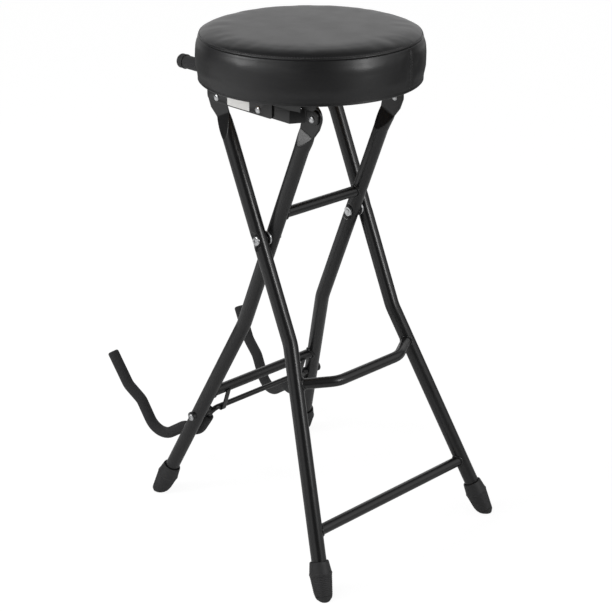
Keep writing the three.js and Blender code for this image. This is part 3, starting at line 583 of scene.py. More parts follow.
# ---------------------------------------------------------------- finishes
def finish(name, colour, roughness, metallic=0.0, specular=0.5, sheen=0.0):
    """A material with its shader set, and where its pattern starts."""
    material = bpy.data.materials.new(name)
    material.use_nodes = True
    tree = material.node_tree
    shader = tree.nodes["Principled BSDF"]
    shader.inputs["Base Color"].default_value = (*colour, 1)
    shader.inputs["Roughness"].default_value = roughness
    shader.inputs["Metallic"].default_value = metallic
    shader.inputs["Specular IOR Level"].default_value = specular
    shader.inputs["Sheen Weight"].default_value = sheen
    return material, tree, shader, add_node(tree, "ShaderNodeTexCoord").outputs["Object"]


def relief(tree, shader, height, depth, under=None):
    """Bump of a depth in millimetres, laid over another bump if there is one."""
    links = {"Height": height}
    if under is not None:
        links["Normal"] = under.outputs["Normal"]
    bump = add_node(tree, "ShaderNodeBump", {"Strength": 1.0, "Distance": depth * MM}, links)
    tree.links.new(bump.outputs["Normal"], shader.inputs["Normal"])
    return bump


def varied(tree, shader, socket, source, low, high):
    """Lets a pattern move one of the shader's inputs between two values or two colours."""
    if socket == "Base Color":
        blend = add_node(
            tree, "ShaderNodeMix", {"data_type": "RGBA", 6: (*low, 1), 7: (*high, 1)}, {0: source}
        )
        tree.links.new(blend.outputs[2], shader.inputs[socket])
    else:
        scale = add_node(tree, "ShaderNodeMapRange", {3: low, 4: high}, {0: source})
        tree.links.new(scale.outputs[0], shader.inputs[socket])


def grain(tree, where, size, detail=2.0, rough=0.5):
    """Soft noise with spots of a size in millimetres."""
    settings = {"Scale": 1 / (size * MM), "Detail": detail, "Roughness": rough}
    return add_node(tree, "ShaderNodeTexNoise", settings, {"Vector": where}).outputs["Fac"]


def tinted(colour, share):
    """A lighter or darker shade of a colour."""
    return tuple(min(1.0, c * share) for c in colour)


def toned(tree, shader, source, colour, low, high):
    """Lets a pattern move the base colour between two shades of one colour."""
    varied(tree, shader, "Base Color", source, tinted(colour, low), tinted(colour, high))


def grained(look, colour, bumps, tone, gloss=None):
    """A finish whose bumps, tone and gloss follow soft grain. A bump is (grain, depth), and the
    others are (grain, low, high), where a grain is its size in millimetres and what follows it."""
    material, tree, shader, where = look
    under = None
    for spots, depth in bumps:
        under = relief(tree, shader, grain(tree, where, *spots), depth, under)
    spots, low, high = tone
    toned(tree, shader, grain(tree, where, *spots), colour, low, high)
    if gloss:
        spots, low, high = gloss
        varied(tree, shader, "Roughness", grain(tree, where, *spots), low, high)
    return material


def make_finishes(colours):
    """All finishes by name."""
    made = {}

    # Polyester powder coat, sprayed on steel and baked: a satin black that shows the studio as soft
    # streaks, broken a little by its orange peel of about 2.5 mm.
    made["powder"] = grained(
        finish("powder_coat_black", colours.powder, 0.3), colours.powder,
        [((0.9, 1.0), 0.004), ((2.5, 1.0), 0.012)], ((9,), 0.92, 1.1), ((14,), 0.27, 0.36),
    )

    # Zinc plate on steel: a cool silver with soft patches where the bath left it duller.
    made["zinc"] = grained(
        finish("zinc_plate", colours.zinc, 0.28, metallic=1.0), colours.zinc,
        [((0.8, 3.0), 0.01)], ((3.0,), 0.82, 1.02), ((2.2,), 0.22, 0.42),
    )

    # PVC leathercloth, embossed by a roller: fine pebbles of about 0.9 mm with thin valleys, which
    # are drawn a little coarse so that they show, and a dull plastic gloss on top.
    material, tree, shader, where = finish("leathercloth_black", colours.vinyl, 0.42)
    pebble = add_node(
        tree, "ShaderNodeTexVoronoi",
        {"feature": "SMOOTH_F1", "Scale": 1 / (1.1 * MM), "Smoothness": 0.6}, {"Vector": where},
    ).outputs["Distance"]
    padded = relief(tree, shader, grain(tree, where, 22), 0.10)
    creased = relief(tree, shader, grain(tree, where, 5), 0.02, padded)
    relief(tree, shader, pebble, 0.035, creased)
    varied(tree, shader, "Roughness", grain(tree, where, 30), 0.37, 0.46)
    toned(tree, shader, grain(tree, where, 3.2), colours.vinyl, 0.9, 1.12)
    made["vinyl"] = material

    # Closed-cell foam tube, extruded: a dull dark grey with fine pores.
    made["foam"] = grained(
        finish("foam_tube_black", colours.foam, 0.86, specular=0.35, sheen=0.08), colours.foam,
        [((6,), 0.08), ((0.8, 4.0, 0.65), 0.09)], ((1.4, 3.0), 0.75, 1.3),
    )

    # Moulded rubber: matte, greyer than the coat, with a faint bloom in patches.
    made["rubber"] = grained(
        finish("moulded_rubber", colours.rubber, 0.6, specular=0.45), colours.rubber,
        [((0.7,), 0.02)], ((6, 3.0), 0.88, 1.2), ((8,), 0.52, 0.7),
    )

    # Injection-moulded nylon: black with a low gloss and the mould's faint spark texture.
    made["nylon"] = grained(
        finish("moulded_nylon", colours.nylon, 0.46), colours.nylon,
        [((0.5,), 0.008)], ((2.5,), 0.9, 1.15), ((4,), 0.4, 0.55),
    )

    # Rotary-cut poplar plywood, unfinished: long pale streaks along X on the faces.
    material, tree, shader, where = finish("plywood_raw", colours.plywood, 0.72)
    stretched = add_node(
        tree, "ShaderNodeMapping", {"Scale": (0.06, 1.0, 1.0)}, {"Vector": where}
    ).outputs[0]
    figure = grain(tree, stretched, 4, 5.0, 0.6)
    toned(tree, shader, figure, colours.plywood, 0.68, 1.22)
    varied(tree, shader, "Roughness", figure, 0.66, 0.8)
    relief(tree, shader, figure, 0.06)
    made["plywood"] = material

    # Bonded polyester thread: dark, with twisted plies in relief, and a painted highlight on their
    # ridges with painted shade in their grooves.
    material, tree, shader, where = finish("sewing_thread", colours.thread, 0.5, sheen=0.1)
    twist_and_painted_highlight = grain(tree, where, 0.3, 1.0)
    relief(tree, shader, twist_and_painted_highlight, 0.03)
    # Painted highlight and shade: the tone follows the plies' bump, lighter where they stand high
    # and darker where they sink.
    toned(tree, shader, twist_and_painted_highlight, colours.thread, 0.7, 1.35)
    made["thread"] = material

    # Coated paper label, left blank: off-white with a low gloss.
    material, tree, shader, where = finish("label_paper", colours.paper, 0.4)
    fibre = grain(tree, where, 1.5, 4.0)
    toned(tree, shader, fibre, colours.paper, 0.93, 1.0)
    relief(tree, shader, fibre, 0.006)
    made["paper"] = material
    return made


FINISHES = {}


def finish_of(name):
    """A finish, which the first piece that needs one makes with all the others."""
    if not FINISHES:
        FINISHES.update(make_finishes(bpy.context.scene.stool_colours))
    return FINISHES[name]


# ---------------------------------------------------------------- legs, tubes and welds
def soft_least(a, b, softness):
    """The smaller of two values, with the corner between them rounded."""
    if softness <= 0:
        return min(a, b)
    near = max(softness - abs(a - b), 0) / softness
    return min(a, b) - near * near * softness / 4


def pressed_section(inner_face, outer_face, half_width, shift, press, sides=64):
    """A leg's section squeezed between two faces. press is 0 on the round tube, 1 on the tab."""
    edge_softness = 1.1
    crowding = 0.3
    high_soft = edge_softness * min(1.0, LEG_RADIUS - outer_face)
    low_soft = edge_softness * min(1.0, LEG_RADIUS + inner_face)
    section = []
    for turn in turned(sides):
        angle = turn + crowding * press * math.sin(2 * turn)
        x = soft_least(LEG_RADIUS * math.cos(angle), outer_face, high_soft)
        x = -soft_least(-x, -inner_face, low_soft)
        section.append((x, shift + half_width * math.sin(angle)))
    return section


def dimpled(ring, cross, side):
    """A ring of a leg with its wall pressed in round the crossing bolt, on the bolt's own side."""
    flare, softness = 0.85, 0.9
    result = []
    for point in ring:
        away = math.hypot(point.y - cross.y, point.z - cross.z)
        wall = (point.x - cross.x) * side
        floor = DIMPLE_FLOOR + flare * max(0.0, away - DIMPLE_RADIUS)
        if away < 2 * DIMPLE_RADIUS and wall > 0:
            point = Vector((cross.x + side * soft_least(wall, floor, softness), point.y, point.z))
        result.append(point)
    return result


def leg_form(line):
    """The right leg of a pair: a tube bent out to its foot, its top pressed into an upright tab."""
    bend_steps, dimple_reach, press_steps, crease_steps, crown_steps = 24, 17, 30, 8, 16
    crown_end = math.radians(88.5)
    across = Vector((1, 0, 0))
    top = line.at(PIVOT_HEIGHT)
    up = top - line.at(line.bend_height)
    up.x = 0
    up.normalize()
    outer_face = line.tab_middle - top.x + TAB_THICKNESS / 2
    inner_face = outer_face - TAB_THICKNESS
    depth = LEG_RADIUS + max(-outer_face, inner_face)
    press_run = PRESS_RUN * depth
    tube_top = PIVOT_HEIGHT - (CREASE_BELOW_PIVOT + press_run) * up.z
    lean_below = line.at(tube_top).x - top.x
    start = line.at(0) + line.foot_direction() * (TIP_SOLE + 0.3)
    corners = [start, line.at(line.bend_height), line.at(tube_top)]
    run = bent_run(corners, LEG_BEND_RADIUS, bend_steps)
    dimple_heights = [CROSS_HEIGHT + k for k in range(-dimple_reach, dimple_reach + 1)]
    run[-1:-1] = [(line.at(height), run[-1][1]) for height in dimple_heights]
    round_section = pressed_section(-LEG_RADIUS, LEG_RADIUS, LEG_RADIUS, 0, 0)
    bolt_side = 1 if line is OUTER else -1
    cross = line.at(CROSS_HEIGHT)
    rings = [
        dimpled(ring_at(point, direction, round_section, across), cross, bolt_side)
        for point, direction in run
    ]
    for k in range(1, press_steps + 1):
        share = 1 - k / press_steps
        rise = share * depth
        section = pressed_section(
            max(-LEG_RADIUS, inner_face - rise),
            min(LEG_RADIUS, outer_face + rise),
            CREASE_HALF_WIDTH + share * (LEG_RADIUS - CREASE_HALF_WIDTH),
            (1 - share) * CREASE_SHIFT * line.tab_shift,
            1 - share,
        )
        centre = top - up * (CREASE_BELOW_PIVOT + share * press_run) + across * share * lean_below
        rings.append(ring_at(centre, up, section, across))
    tab = []
    for k in range(1, crease_steps + 1):
        share = k / crease_steps
        width = CREASE_HALF_WIDTH + share * (TAB_HALF_WIDTH - CREASE_HALF_WIDTH)
        shift = (CREASE_SHIFT + share * (1 - CREASE_SHIFT)) * line.tab_shift
        along = -CREASE_BELOW_PIVOT + share * (CREASE_BELOW_PIVOT - TAB_BELOW_PIVOT)
        tab.append((along, width, shift))
    for k in range(crown_steps + 1):
        angle = crown_end * k / crown_steps
        along = TAB_ABOVE_PIVOT + TAB_HALF_WIDTH * math.sin(angle)
        tab.append((along, TAB_HALF_WIDTH * math.cos(angle), line.tab_shift))
    for along, width, shift in tab:
        section = pressed_section(inner_face, outer_face, width, shift, 1)
        rings.append(ring_at(top + up * along, up, section, across))
    return skin(rings)


def weld_line(line, start, direction, bar_radius):
    """Where a bar's side meets the right leg: a closed ring of points, just off both tubes."""
    off_bar, off_leg, run_up, sides = 0.3, 0.2, 40, 56
    axis = (line.at(start.z) - line.at(max(start.z - 30, 0))).normalized()
    section = circle(bar_radius + off_bar, sides)
    ring = []
    for point in ring_at(start - direction * run_up, direction, section, Vector((0, 0, 1))):
        offset = point - line.at(start.z)
        flat_offset = offset - axis * offset.dot(axis)
        flat_step = direction - axis * direction.dot(axis)
        a = flat_step.length_squared
        b = 2 * flat_offset.dot(flat_step)
        c = flat_offset.length_squared - (LEG_RADIUS + off_leg) ** 2
        to_leg = (-b - math.sqrt(max(b * b - 4 * a * c, 0))) / (2 * a)
        ring.append(point + direction * to_leg)
    return ring


def weld_bead(ring, bead):
    """A bead along a closed ring, under the powder coat."""
    values = {
        "Bead Radius": bead, "Ripple Pitch": 0.0021, "Ripple": 0.22, "Finish": finish_of("powder")
    }
    return grown(line_mesh(ring, closed=True), "weld bead", values, crease=60)


def joined(name, meshes, body, replaces=()):
    """One piece out of several finished meshes of one material."""
    work = bmesh.new()
    for mesh in meshes:
        work.from_mesh(mesh)
    result = meshes[0].copy()
    work.to_mesh(result)
    work.free()
    for mesh in meshes:
        bpy.data.meshes.remove(mesh)
    return piece(name, result, body, replaces=replaces)


class STOOL_OT_legs(bpy.types.Operator):
    """Makes the four legs, with the tabs pressed into their tops"""

    bl_idname = "stool.legs"
    bl_label = "Legs"

    def execute(self, context):
        for pair, line in (("outer", OUTER), ("inner", INNER)):
            form = leg_form(line)
            for side, sign in SIDES.items():
                mesh = mesh_of(sided(form, sign), crease=24)
                piece(f"{pair}_leg_tube_{side}", mesh, f"{pair}_frame",
                      finish_of("powder"), [f"{pair}_leg_{side}"])
        return {"FINISHED"}


class STOOL_OT_cross_tubes(bpy.types.Operator):
    """Makes the footrest and the three cross tubes, and welds them to the legs"""

    bl_idname = "stool.cross_tubes"
    bl_label = "Footrest and cross tubes"

    def execute(self, context):
        sizes = context.scene.stool_sizes
        radius = sizes.cross_tube / 2 / MM
        welds = {"outer_frame": [], "inner_frame": []}
        end = OUTER.at(FOOTREST_HEIGHT)
        bend = Vector((FOOTREST_STRAIGHT, end.y - FOOTREST_BOW, end.z))
        powder = finish_of("powder")
        corners = [flipped(end), flipped(bend), bend, end]
        mesh = bent_tube(corners, [FOOTREST_BEND] * 2, radius, powder)
        piece("footrest_tube", mesh, "outer_frame", replaces=["footrest_bar"])
        joints = [("outer_frame", OUTER, end, (end - bend).normalized())]
        for name, height in BAR_HEIGHTS.items():
            on_outer = name == "front_stretcher"
            line, body = (OUTER, "outer_frame") if on_outer else (INNER, "inner_frame")
            tip = line.at(height)
            mesh = bent_tube([flipped(tip), tip], [], radius, powder)
            piece(f"{name}_tube", mesh, body, replaces=[name])
            joints.append((body, line, tip, Vector((1, 0, 0))))
        for body, line, tip, direction in joints:
            ring = weld_line(line, tip, direction, radius)
            for points in (ring, [flipped(p) for p in ring]):
                welds[body].append(weld_bead(points, sizes.weld_bead))
        for body, beads in welds.items():
            joined(f"{body}_welds", beads, body)
        return {"FINISHED"}


# ---------------------------------------------------------------- foot tips
def ribbed_radius(along, pitch):
    """The tip's outside up to its belly: a widening cone with rounded ribs between smooth ends."""
    sole, belly = TIP_RADII["sole"], TIP_RADII["belly"]
    base = sole + (belly - sole) * max(along, 0) / TIP_BELLY
    if not RIBS_FROM < along < RIBS_TO:
        return base
    phase = (along - RIBS_FROM) / pitch
    return base - RIB_DEPTH * (0.5 + 0.5 * math.cos(2 * math.pi * phase)) ** 2


def foot_tip_form(line, pitch):
    """A turned rubber boot along the right leg's foot, before the floor cuts it."""
    ribs_end = TIP_BELLY - 1.5
    steps_per_rib = 8
    socket = TIP_LENGTH - 4
    outside = [(-TIP_SOLE, 0), (-TIP_SOLE, TIP_RADII["sole"] - 0.2)]
    along = 0.0
    while along < ribs_end:
        outside.append((along, ribbed_radius(along, pitch)))
        along += pitch / steps_per_rib
    ridge = eased(
        [
            (ribs_end, ribbed_radius(ribs_end, pitch)), (TIP_BELLY, 17.0), (TIP_BELLY + 2.2, 16.2),
            (TIP_LENGTH - 0.2, TIP_RADII["rim"]), (TIP_LENGTH, 12.1), (socket, 11.7),
        ],
        [1.2, 2.5, 1.3, 0.6],
    )
    return lathe([*outside, *ridge, (socket, 0)], line.at(0), line.foot_direction(), 72)


def worn_in(mesh, centre, height=9.0, draw_in=3.6, core=6.0):
    """Rounds a foot tip's outside in towards its sole, and leaves the core as it is."""
    middle = place(centre)
    for vertex in mesh.vertices:
        share = max(0.0, 1 - vertex.co.z / MM / height)
        out = Vector((vertex.co.x - middle.x, vertex.co.y - middle.y, 0))
        reach = out.length
        if share > 0 and reach > core * MM:
            inward = draw_in * MM * (1 - math.sqrt(1 - min(share, 1.0) ** 2))
            vertex.co -= out / reach * inward


class STOOL_OT_foot_tips(bpy.types.Operator):
    """Makes the four ribbed rubber foot tips"""

    bl_idname = "stool.foot_tips"
    bl_label = "Foot tips"

    def execute(self, context):
        pitch = context.scene.stool_sizes.rib_pitch / MM
        for pair, line in (("outer", OUTER), ("inner", INNER)):
            form = foot_tip_form(line, pitch)
            for side, sign in SIDES.items():
                mesh = cut_flat(mesh_of(sided(form, sign)), (0, 0, 0), (0, 0, -1))
                worn_in(mesh, (line.at(0).x * sign, line.at(0).y, 0))
                piece(f"{pair}_foot_rubber_{side}", mesh, f"{pair}_frame",
                      finish_of("rubber"), [f"{pair}_foot_tip_{side}"])
        return {"FINISHED"}


# ---------------------------------------------------------------- fixings
ORIGIN, ALONG_X, ALONG_Y = (0, 0, 0), (1, 0, 0), (0, 1, 0)


def bolt_form(radius, length, head_radius, head_height):
    """A round-headed bolt along X, its head's seat at the origin."""
    steps, end, rim, chamfer = 8, math.radians(80), 0.22, 0.8
    dome = []
    for k in range(steps + 1):
        angle = end * k / steps
        rise = rim + (1 - rim) * math.sin(angle) / math.sin(end)
        dome.append((head_height * rise, head_radius * math.cos(angle * 0.86)))
    shank = [(-length, 0), (-length, radius * 0.8), (-length + chamfer, radius), (0, radius)]
    return lathe([*shank, (0, head_radius), *dome, (head_height, 0)], ORIGIN, ALONG_X, 40)


def crossed(mesh, head_height, reach, width, depth):
    """Cuts a cross recess into a head, with slots that taper towards their floor."""
    ends = ((head_height - depth) * MM, 0.55), ((head_height + 1) * MM, 1.25)
    square = ((-1, -1), (1, -1), (1, 1), (-1, 1))
    sides = [(k, k + 4, (k + 1) % 4 + 4, (k + 1) % 4) for k in range(4)]
    body = added("scratch", mesh)
    for turn in (0, math.pi / 2):
        corners = []
        for x, grow in ends:
            for y, z in square:
                across = y * reach * grow * MM, z * width / 2 * MM * (0.8 + grow * 0.3)
                corners.append(Matrix.Rotation(turn, 3, "X") @ Vector((x, *across)))
        slot = bpy.data.meshes.new("slot")
        slot.from_pydata(corners, [], [(0, 1, 2, 3), (7, 6, 5, 4), *sides])
        cutter = added("scratch", finish_mesh(slot))
        modifier = body.modifiers.new("recess", "BOOLEAN")
        modifier.operation, modifier.solver, modifier.object = "DIFFERENCE", "EXACT", cutter
        cut = evaluated(body)
        body.modifiers.remove(modifier)
        body.data = cut
        drop(cutter)
    result = body.data.copy()
    drop(body)
    return finish_mesh(result, 28)


def rivet_form(length):
    """A rivet along X: a low domed head whose seat is at the origin, and an upset end."""
    head = [(0, 5.2), (0.5, 5.2), (1.25, 4.5), (1.85, 3.1), (2.1, 1.6), (2.15, 0)]
    upset = [(1.1, 0), (1.1, 2.6), (0.9, 3.7), (0.3, 4.6), (0, 4.5)]
    upset = [(-length - along, radius) for along, radius in upset]
    rounds = [0.0, 0.6, 0.4, 0.1, 0.1, 0.1, 0.1, 0.3, 0.8, 1.5, 1.5]
    profile = eased([*upset, (-length, 3.2), (0, 3.2), *head], rounds, 3)
    return lathe(profile, ORIGIN, ALONG_X, 32)


def screw_form():
    """A pan-head screw along X, its head's seat at the origin."""
    profile = eased([(-11.5, 0), (-9.5, 1.9), (0, 2.1), (0, 4.4), (1.3, 4.3), (2.4, 2.2), (2.4, 0)],
                    [0.2, 0.1, 0.1, 0.4, 0.9, 0.3], 3)
    return lathe(profile, ORIGIN, ALONG_X, 24)


def nut_form(radius, height, bore):
    """A hexagon nut along -X with its face at the origin and chamfered corners."""
    half_side = math.pi / 6

    def ring(x, reach, hexagon=True):
        points = []
        for angle in turned(48):
            off_corner = (angle + half_side) % (2 * half_side) - half_side
            flat = radius * math.cos(half_side) / math.cos(off_corner)
            out = min(flat, reach) if hexagon else reach
            points.append(Vector((x, out * math.cos(angle), out * math.sin(angle))))
        return points

    edge, cut_to = 0.5, radius * 0.9
    outside = [(0, cut_to), (-edge, radius), (-height + edge, radius), (-height, cut_to)]
    rings = [ring(x, reach) for x, reach in outside]
    return skin([ring(0, bore, False), *rings, ring(-height, bore, False)], closed=True)


def paired(point):
    """A spot on the right side with its head outwards, and its mirror image."""
    x, y, z = point
    return [((x, y, z), HEAD_TURN["right"], 1.0), ((-x, y, z), HEAD_TURN["left"], 1.0)]


class STOOL_OT_fixings(bpy.types.Operator):
    """Makes the bolts, nuts, rivets and screws"""

    bl_idname = "stool.fixings"
    bl_label = "Bolts, rivets and screws"

    def execute(self, context):
        zinc = finish_of("zinc")
        cross = OUTER.at(CROSS_HEIGHT)
        pivot = INNER.at(CRADLE_PIVOT_HEIGHT)
        bolt_seat = cross.x + DIMPLE_FLOOR + CROSSING_WASHER
        nut_face = INNER.half_width - DIMPLE_FLOOR - 0.2
        cradle_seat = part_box("cradle_saddle_right")[1].x / MM
        crossing_bolt = bolt_form(4.0, bolt_seat - nut_face + 4.8, 7.2, 3.2)
        cradle_bolt = bolt_form(3.0, cradle_seat - BOSS_END + 6, 6.0, 3.4)
        for name, fitting, spot, body in (
            ("crossing_bolt", crossed(at_origin(crossing_bolt), 3.2, 3.6, 1.8, 1.7),
             (bolt_seat, cross.y, cross.z), "outer_frame"),
            ("crossing_nut", at_origin(nut_form(7.6, 4.0, 3.6), 28),
             (nut_face, cross.y, cross.z), "outer_frame"),
            ("cradle_bolt", crossed(at_origin(cradle_bolt), 3.4, 2.8, 1.4, 1.6),
             (cradle_seat, pivot.y, pivot.z), "inner_frame"),
        ):
            mesh = scattered(fitting, paired(spot), zinc, 28)
            nodes = [f"{name}_{side}" for side in SIDES]
            piece(f"{name}s", mesh, body, replaces=nodes)

        rivet = at_origin(rivet_form(RAIL_FACE - 100.2), 30)
        places = [(RAIL_FACE, y, PIVOT_HEIGHT) for y in (OUTER.pivot_y, CROSS_Y)]
        mesh = scattered(rivet, [spot for point in places for spot in paired(point)], zinc, 30)
        names = [f"{name}_{side}" for name in ("seat_rivet", "link_rivet") for side in SIDES]
        piece("seat_rivets", mesh, "seat", replaces=names)

        rivet = at_origin(rivet_form(LINK_OUTER_FACE - TAB_INNER_FACE), 30)
        spots = dict(zip(SIDES, paired((LINK_OUTER_FACE, INNER.pivot_y, PIVOT_HEIGHT))))
        for side, sign in SIDES.items():
            for half, body, past in (
                ("outer", f"link_{side}_body", -sign), ("inner", "inner_frame", sign)
            ):
                mesh = scattered(rivet.copy(), [spots[side]], zinc, 30)
                cut_flat(mesh, (sign * SPLIT_PLANE * MM, 0, 0), (past, 0, 0), 30)
                piece(f"front_rivet_{half}_half_{side}", mesh, body,
                      replaces=[f"front_rivet_{half}_{side}"])

        screw = crossed(at_origin(screw_form()), 2.4, 2.1, 1.0, 1.3)
        spots = {}
        for kind, count, z in (("rail_screw", 6, FLANGE_BOTTOM), ("guide_screw", 4, GUIDE_BOTTOM)):
            for i in range(1, count + 1):
                low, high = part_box(f"{kind}_{i}")
                middle = (low + high) / 2
                point = (middle.x / MM, (middle.y - SEAT_MIDDLE) / MM, z)
                spots[f"{kind}_{i}"] = (point, HEAD_TURN["down"], 1.0)
        mesh = scattered(screw, list(spots.values()), zinc, 28)
        piece("seat_screws", mesh, "seat", replaces=list(spots))
        return {"FINISHED"}


# ---------------------------------------------------------------- plates, washers and guides
def plate_copy(node, round_by, crease=30):
    """A copy of a plate from the frame, merged and with its cut edges rounded."""
    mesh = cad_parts[node].data.copy()
    flat = math.radians(1)
    with edited(mesh) as work:
        bmesh.ops.remove_doubles(work, verts=work.verts, dist=1e-6)
        bmesh.ops.dissolve_limit(work, angle_limit=flat, verts=work.verts, edges=work.edges)
    obj = added("scratch", mesh)
    bevel = obj.modifiers.new("edges", "BEVEL")
    bevel.width, bevel.segments, bevel.limit_method = round_by, 3, "ANGLE"
    bevel.angle_limit = math.radians(40)
    made = evaluated(obj)
    drop(obj)
    return finish_mesh(made, crease)


def move_joggle(mesh):
    """Brings a link's joggle nearer to its front pivot, close behind the rivet."""
    for v in mesh.vertices:
        y = (v.co.y - SEAT_MIDDLE) / MM
        if JOGGLE_BACK > y > JOGGLE_FRONT:
            v.co.y -= JOGGLE_MOVE * MM
    mesh.update()


def rail_toe_forms():
    """The right rail's flange where it runs on ahead of the upright web, and the two lips that hang
    from it over the link."""
    flange = [(82.3, -35.9), (105.9, -35.9), (105.9, -96.0), (99.0, -104.0), (82.3, -104.0)]
    outer_lip = [(-36.2, 689.6), (-36.2, 674.7), (-72.0, 674.7), (-92.0, 676.0), (-92.0, 689.6)]
    inner_lip = [(-71.0, 689.6), (-71.0, 674.8), (-97.0, 674.8), (-103.0, 679.0), (-103.0, 689.6)]
    rings = [[Vector((x, y, z)) for x, y in flange] for z in (FLANGE_BOTTOM + 0.05, RAIL_TOP)]
    forms = [skin(rings)]
    for lip, faces in ((outer_lip, (104.3, 105.8)), (inner_lip, (86.0, 87.4))):
        forms.append(skin([[Vector((x, y, z)) for y, z in lip] for x in faces]))
    return forms


def saddle_form(line, height, radius, bore, thickness):
    """A washer whose back is hollowed to sit on the right leg's round side."""
    at = line.at(height)
    axis = (at - line.at(height - 20)).normalized()
    face = at.x + LEG_RADIUS + thickness
    front = [(bore, face), (radius - 0.7, face), (radius - 0.2, face - 0.2), (radius, face - 0.7)]
    gap, back_steps = 0.05, 6

    def surface(y, z):
        """Where the leg's side lies behind a point of the washer."""
        point = Vector((0, y, z))
        off_axis = point - axis * point.dot(axis)
        depth = math.sqrt(max((LEG_RADIUS + gap) ** 2 - off_axis.y**2, 0))
        return at.x + axis.x / axis.z * z + depth

    rings = []
    for angle in turned(48):
        y, z = math.cos(angle), math.sin(angle)
        reaches = [bore + (radius - bore) * k / back_steps for k in range(back_steps, -1, -1)]
        back = [(reach, surface(reach * y, reach * z)) for reach in reaches]
        rings.append([Vector((x, at.y + reach * y, at.z + reach * z)) for reach, x in front + back])
    return skin(rings, closed=True)


def washer_form(low, high, bore, radius, rounding, steps):
    """A flat washer round the crossing's axis, between two distances from the seat's middle."""
    profile = [(low, bore), (low, radius), (high, radius), (high, bore)]
    cross = OUTER.at(CROSS_HEIGHT)
    origin = (0, cross.y, cross.z)
    return lathe(eased(profile, [rounding] * 2, steps), origin, ALONG_X, 48, closed=True)


class STOOL_OT_plates(bpy.types.Operator):
    """Makes the rails, the links, the cradle's stops, the washers and the neck rest's guides"""

    bl_idname = "stool.plates"
    bl_label = "Rails, links, washers and guides"

    def execute(self, context):
        round_by = context.scene.stool_sizes.edge_round
        powder, nylon = finish_of("powder"), finish_of("nylon")
        recess = OUTER.at(CROSS_HEIGHT).x + DIMPLE_FLOOR
        washer = washer_form(recess + 0.05, recess + CROSSING_WASHER, 4.1, 8.1, 0.2, 2)
        saddle = saddle_form(INNER, CRADLE_PIVOT_HEIGHT, 8.0, 3.0, 3.2)
        between = INNER.half_width + LEG_RADIUS + 0.15
        spacer = washer_form(between, between + 3, 4.3, 10.5, 0.6, 3)
        for side, sign in SIDES.items():
            for name, node, body in (
                (f"seat_rail_plate_{side}", f"seat_rail_{side}", "seat"),
                (f"link_plate_{side}", f"link_{side}", f"link_{side}_body"),
                (f"cradle_stop_strip_{side}", f"cradle_stop_{side}", "cradle"),
            ):
                mesh = plate_copy(node, round_by)
                if name.startswith("link_plate"):
                    move_joggle(mesh)
                piece(name, mesh, body, powder, [node])
            toe = [mesh_of(sided(form, sign)) for form in rail_toe_forms()]
            toe[0].materials.append(powder)
            joined(f"rail_front_flange_{side}", toe, "seat")
            for name, node, body, form in (
                ("crossing_washer", "crossing_saddle", "outer_frame", washer),
                ("cradle_washer", "cradle_saddle", "inner_frame", saddle),
            ):
                mesh = mesh_of(sided(form, sign), 40)
                piece(f"{name}_{side}", mesh, body, nylon, [f"{node}_{side}"])
            piece(f"crossing_spacer_ring_{side}", mesh_of(sided(spacer, sign)), "outer_frame",
                  finish_of("zinc"), [f"crossing_spacer_{side}"])
        for end in ("front", "rear"):
            node = f"neck_guide_{end}"
            mesh = plate_copy(node, 0.0008)
            piece(f"neck_guide_block_{end}", mesh, "seat", nylon, [node])
        return {"FINISHED"}


# ---------------------------------------------------------------- cradle
def arm_corners():
    """Corners of the right arm from its crank to its tip."""
    spread = (ARM_FAR - ARM_NEAR) / ARM_CORNERS[-1][0]
    return [
        Vector((ARM_NEAR + spread * reach, ROD_Y + reach, ROD_Z + rise))
        for reach, rise in ARM_CORNERS
    ]


def trimmed(corners, start, end):
    """The same path, shortened at its first and last corners."""
    corners = [c.copy() for c in corners]
    corners[0] += (corners[1] - corners[0]).normalized() * start
    corners[-1] += (corners[-2] - corners[-1]).normalized() * end
    return corners


def sleeve_form(radius):
    """A foam sleeve on the right arm, open at the crank and closed at the tip."""
    off_crank, spacing, end_round, end_steps = 17, 4, 3.4, 8
    run = bent_run(trimmed(arm_corners(), off_crank, 0), ARM_BENDS, 18)
    filled = []
    for (a, da), (b, db) in zip(run, run[1:]):
        parts = max(1, round((b - a).length / spacing))
        for k in range(parts):
            share = k / parts
            filled.append((a.lerp(b, share), da.lerp(db, share).normalized()))
    filled.append(run[-1])
    first, heading = filled[0]
    bore = ROD_RADIUS + 0.4
    mouth = [(6, bore), (0.6, bore), (0, bore + 0.5), (0, radius - 2.2), (0.35, radius - 1.0),
             (1.2, radius - 0.25)]
    stations = [(first + heading * along, heading, reach) for along, reach in mouth]
    stations += [(p, d, radius) for p, d in filled if (p - first).length > 2.2]
    last, heading = filled[-1]
    for k in range(1, end_steps + 1):
        angle = math.radians(88) * k / end_steps
        along, reach = end_round * math.sin(angle), radius - end_round * (1 - math.cos(angle))
        stations.append((last + heading * along, heading, reach))
    across = Vector((1, 0, 0))
    return skin([ring_at(p, d, circle(reach, 40), across) for p, d, reach in stations])


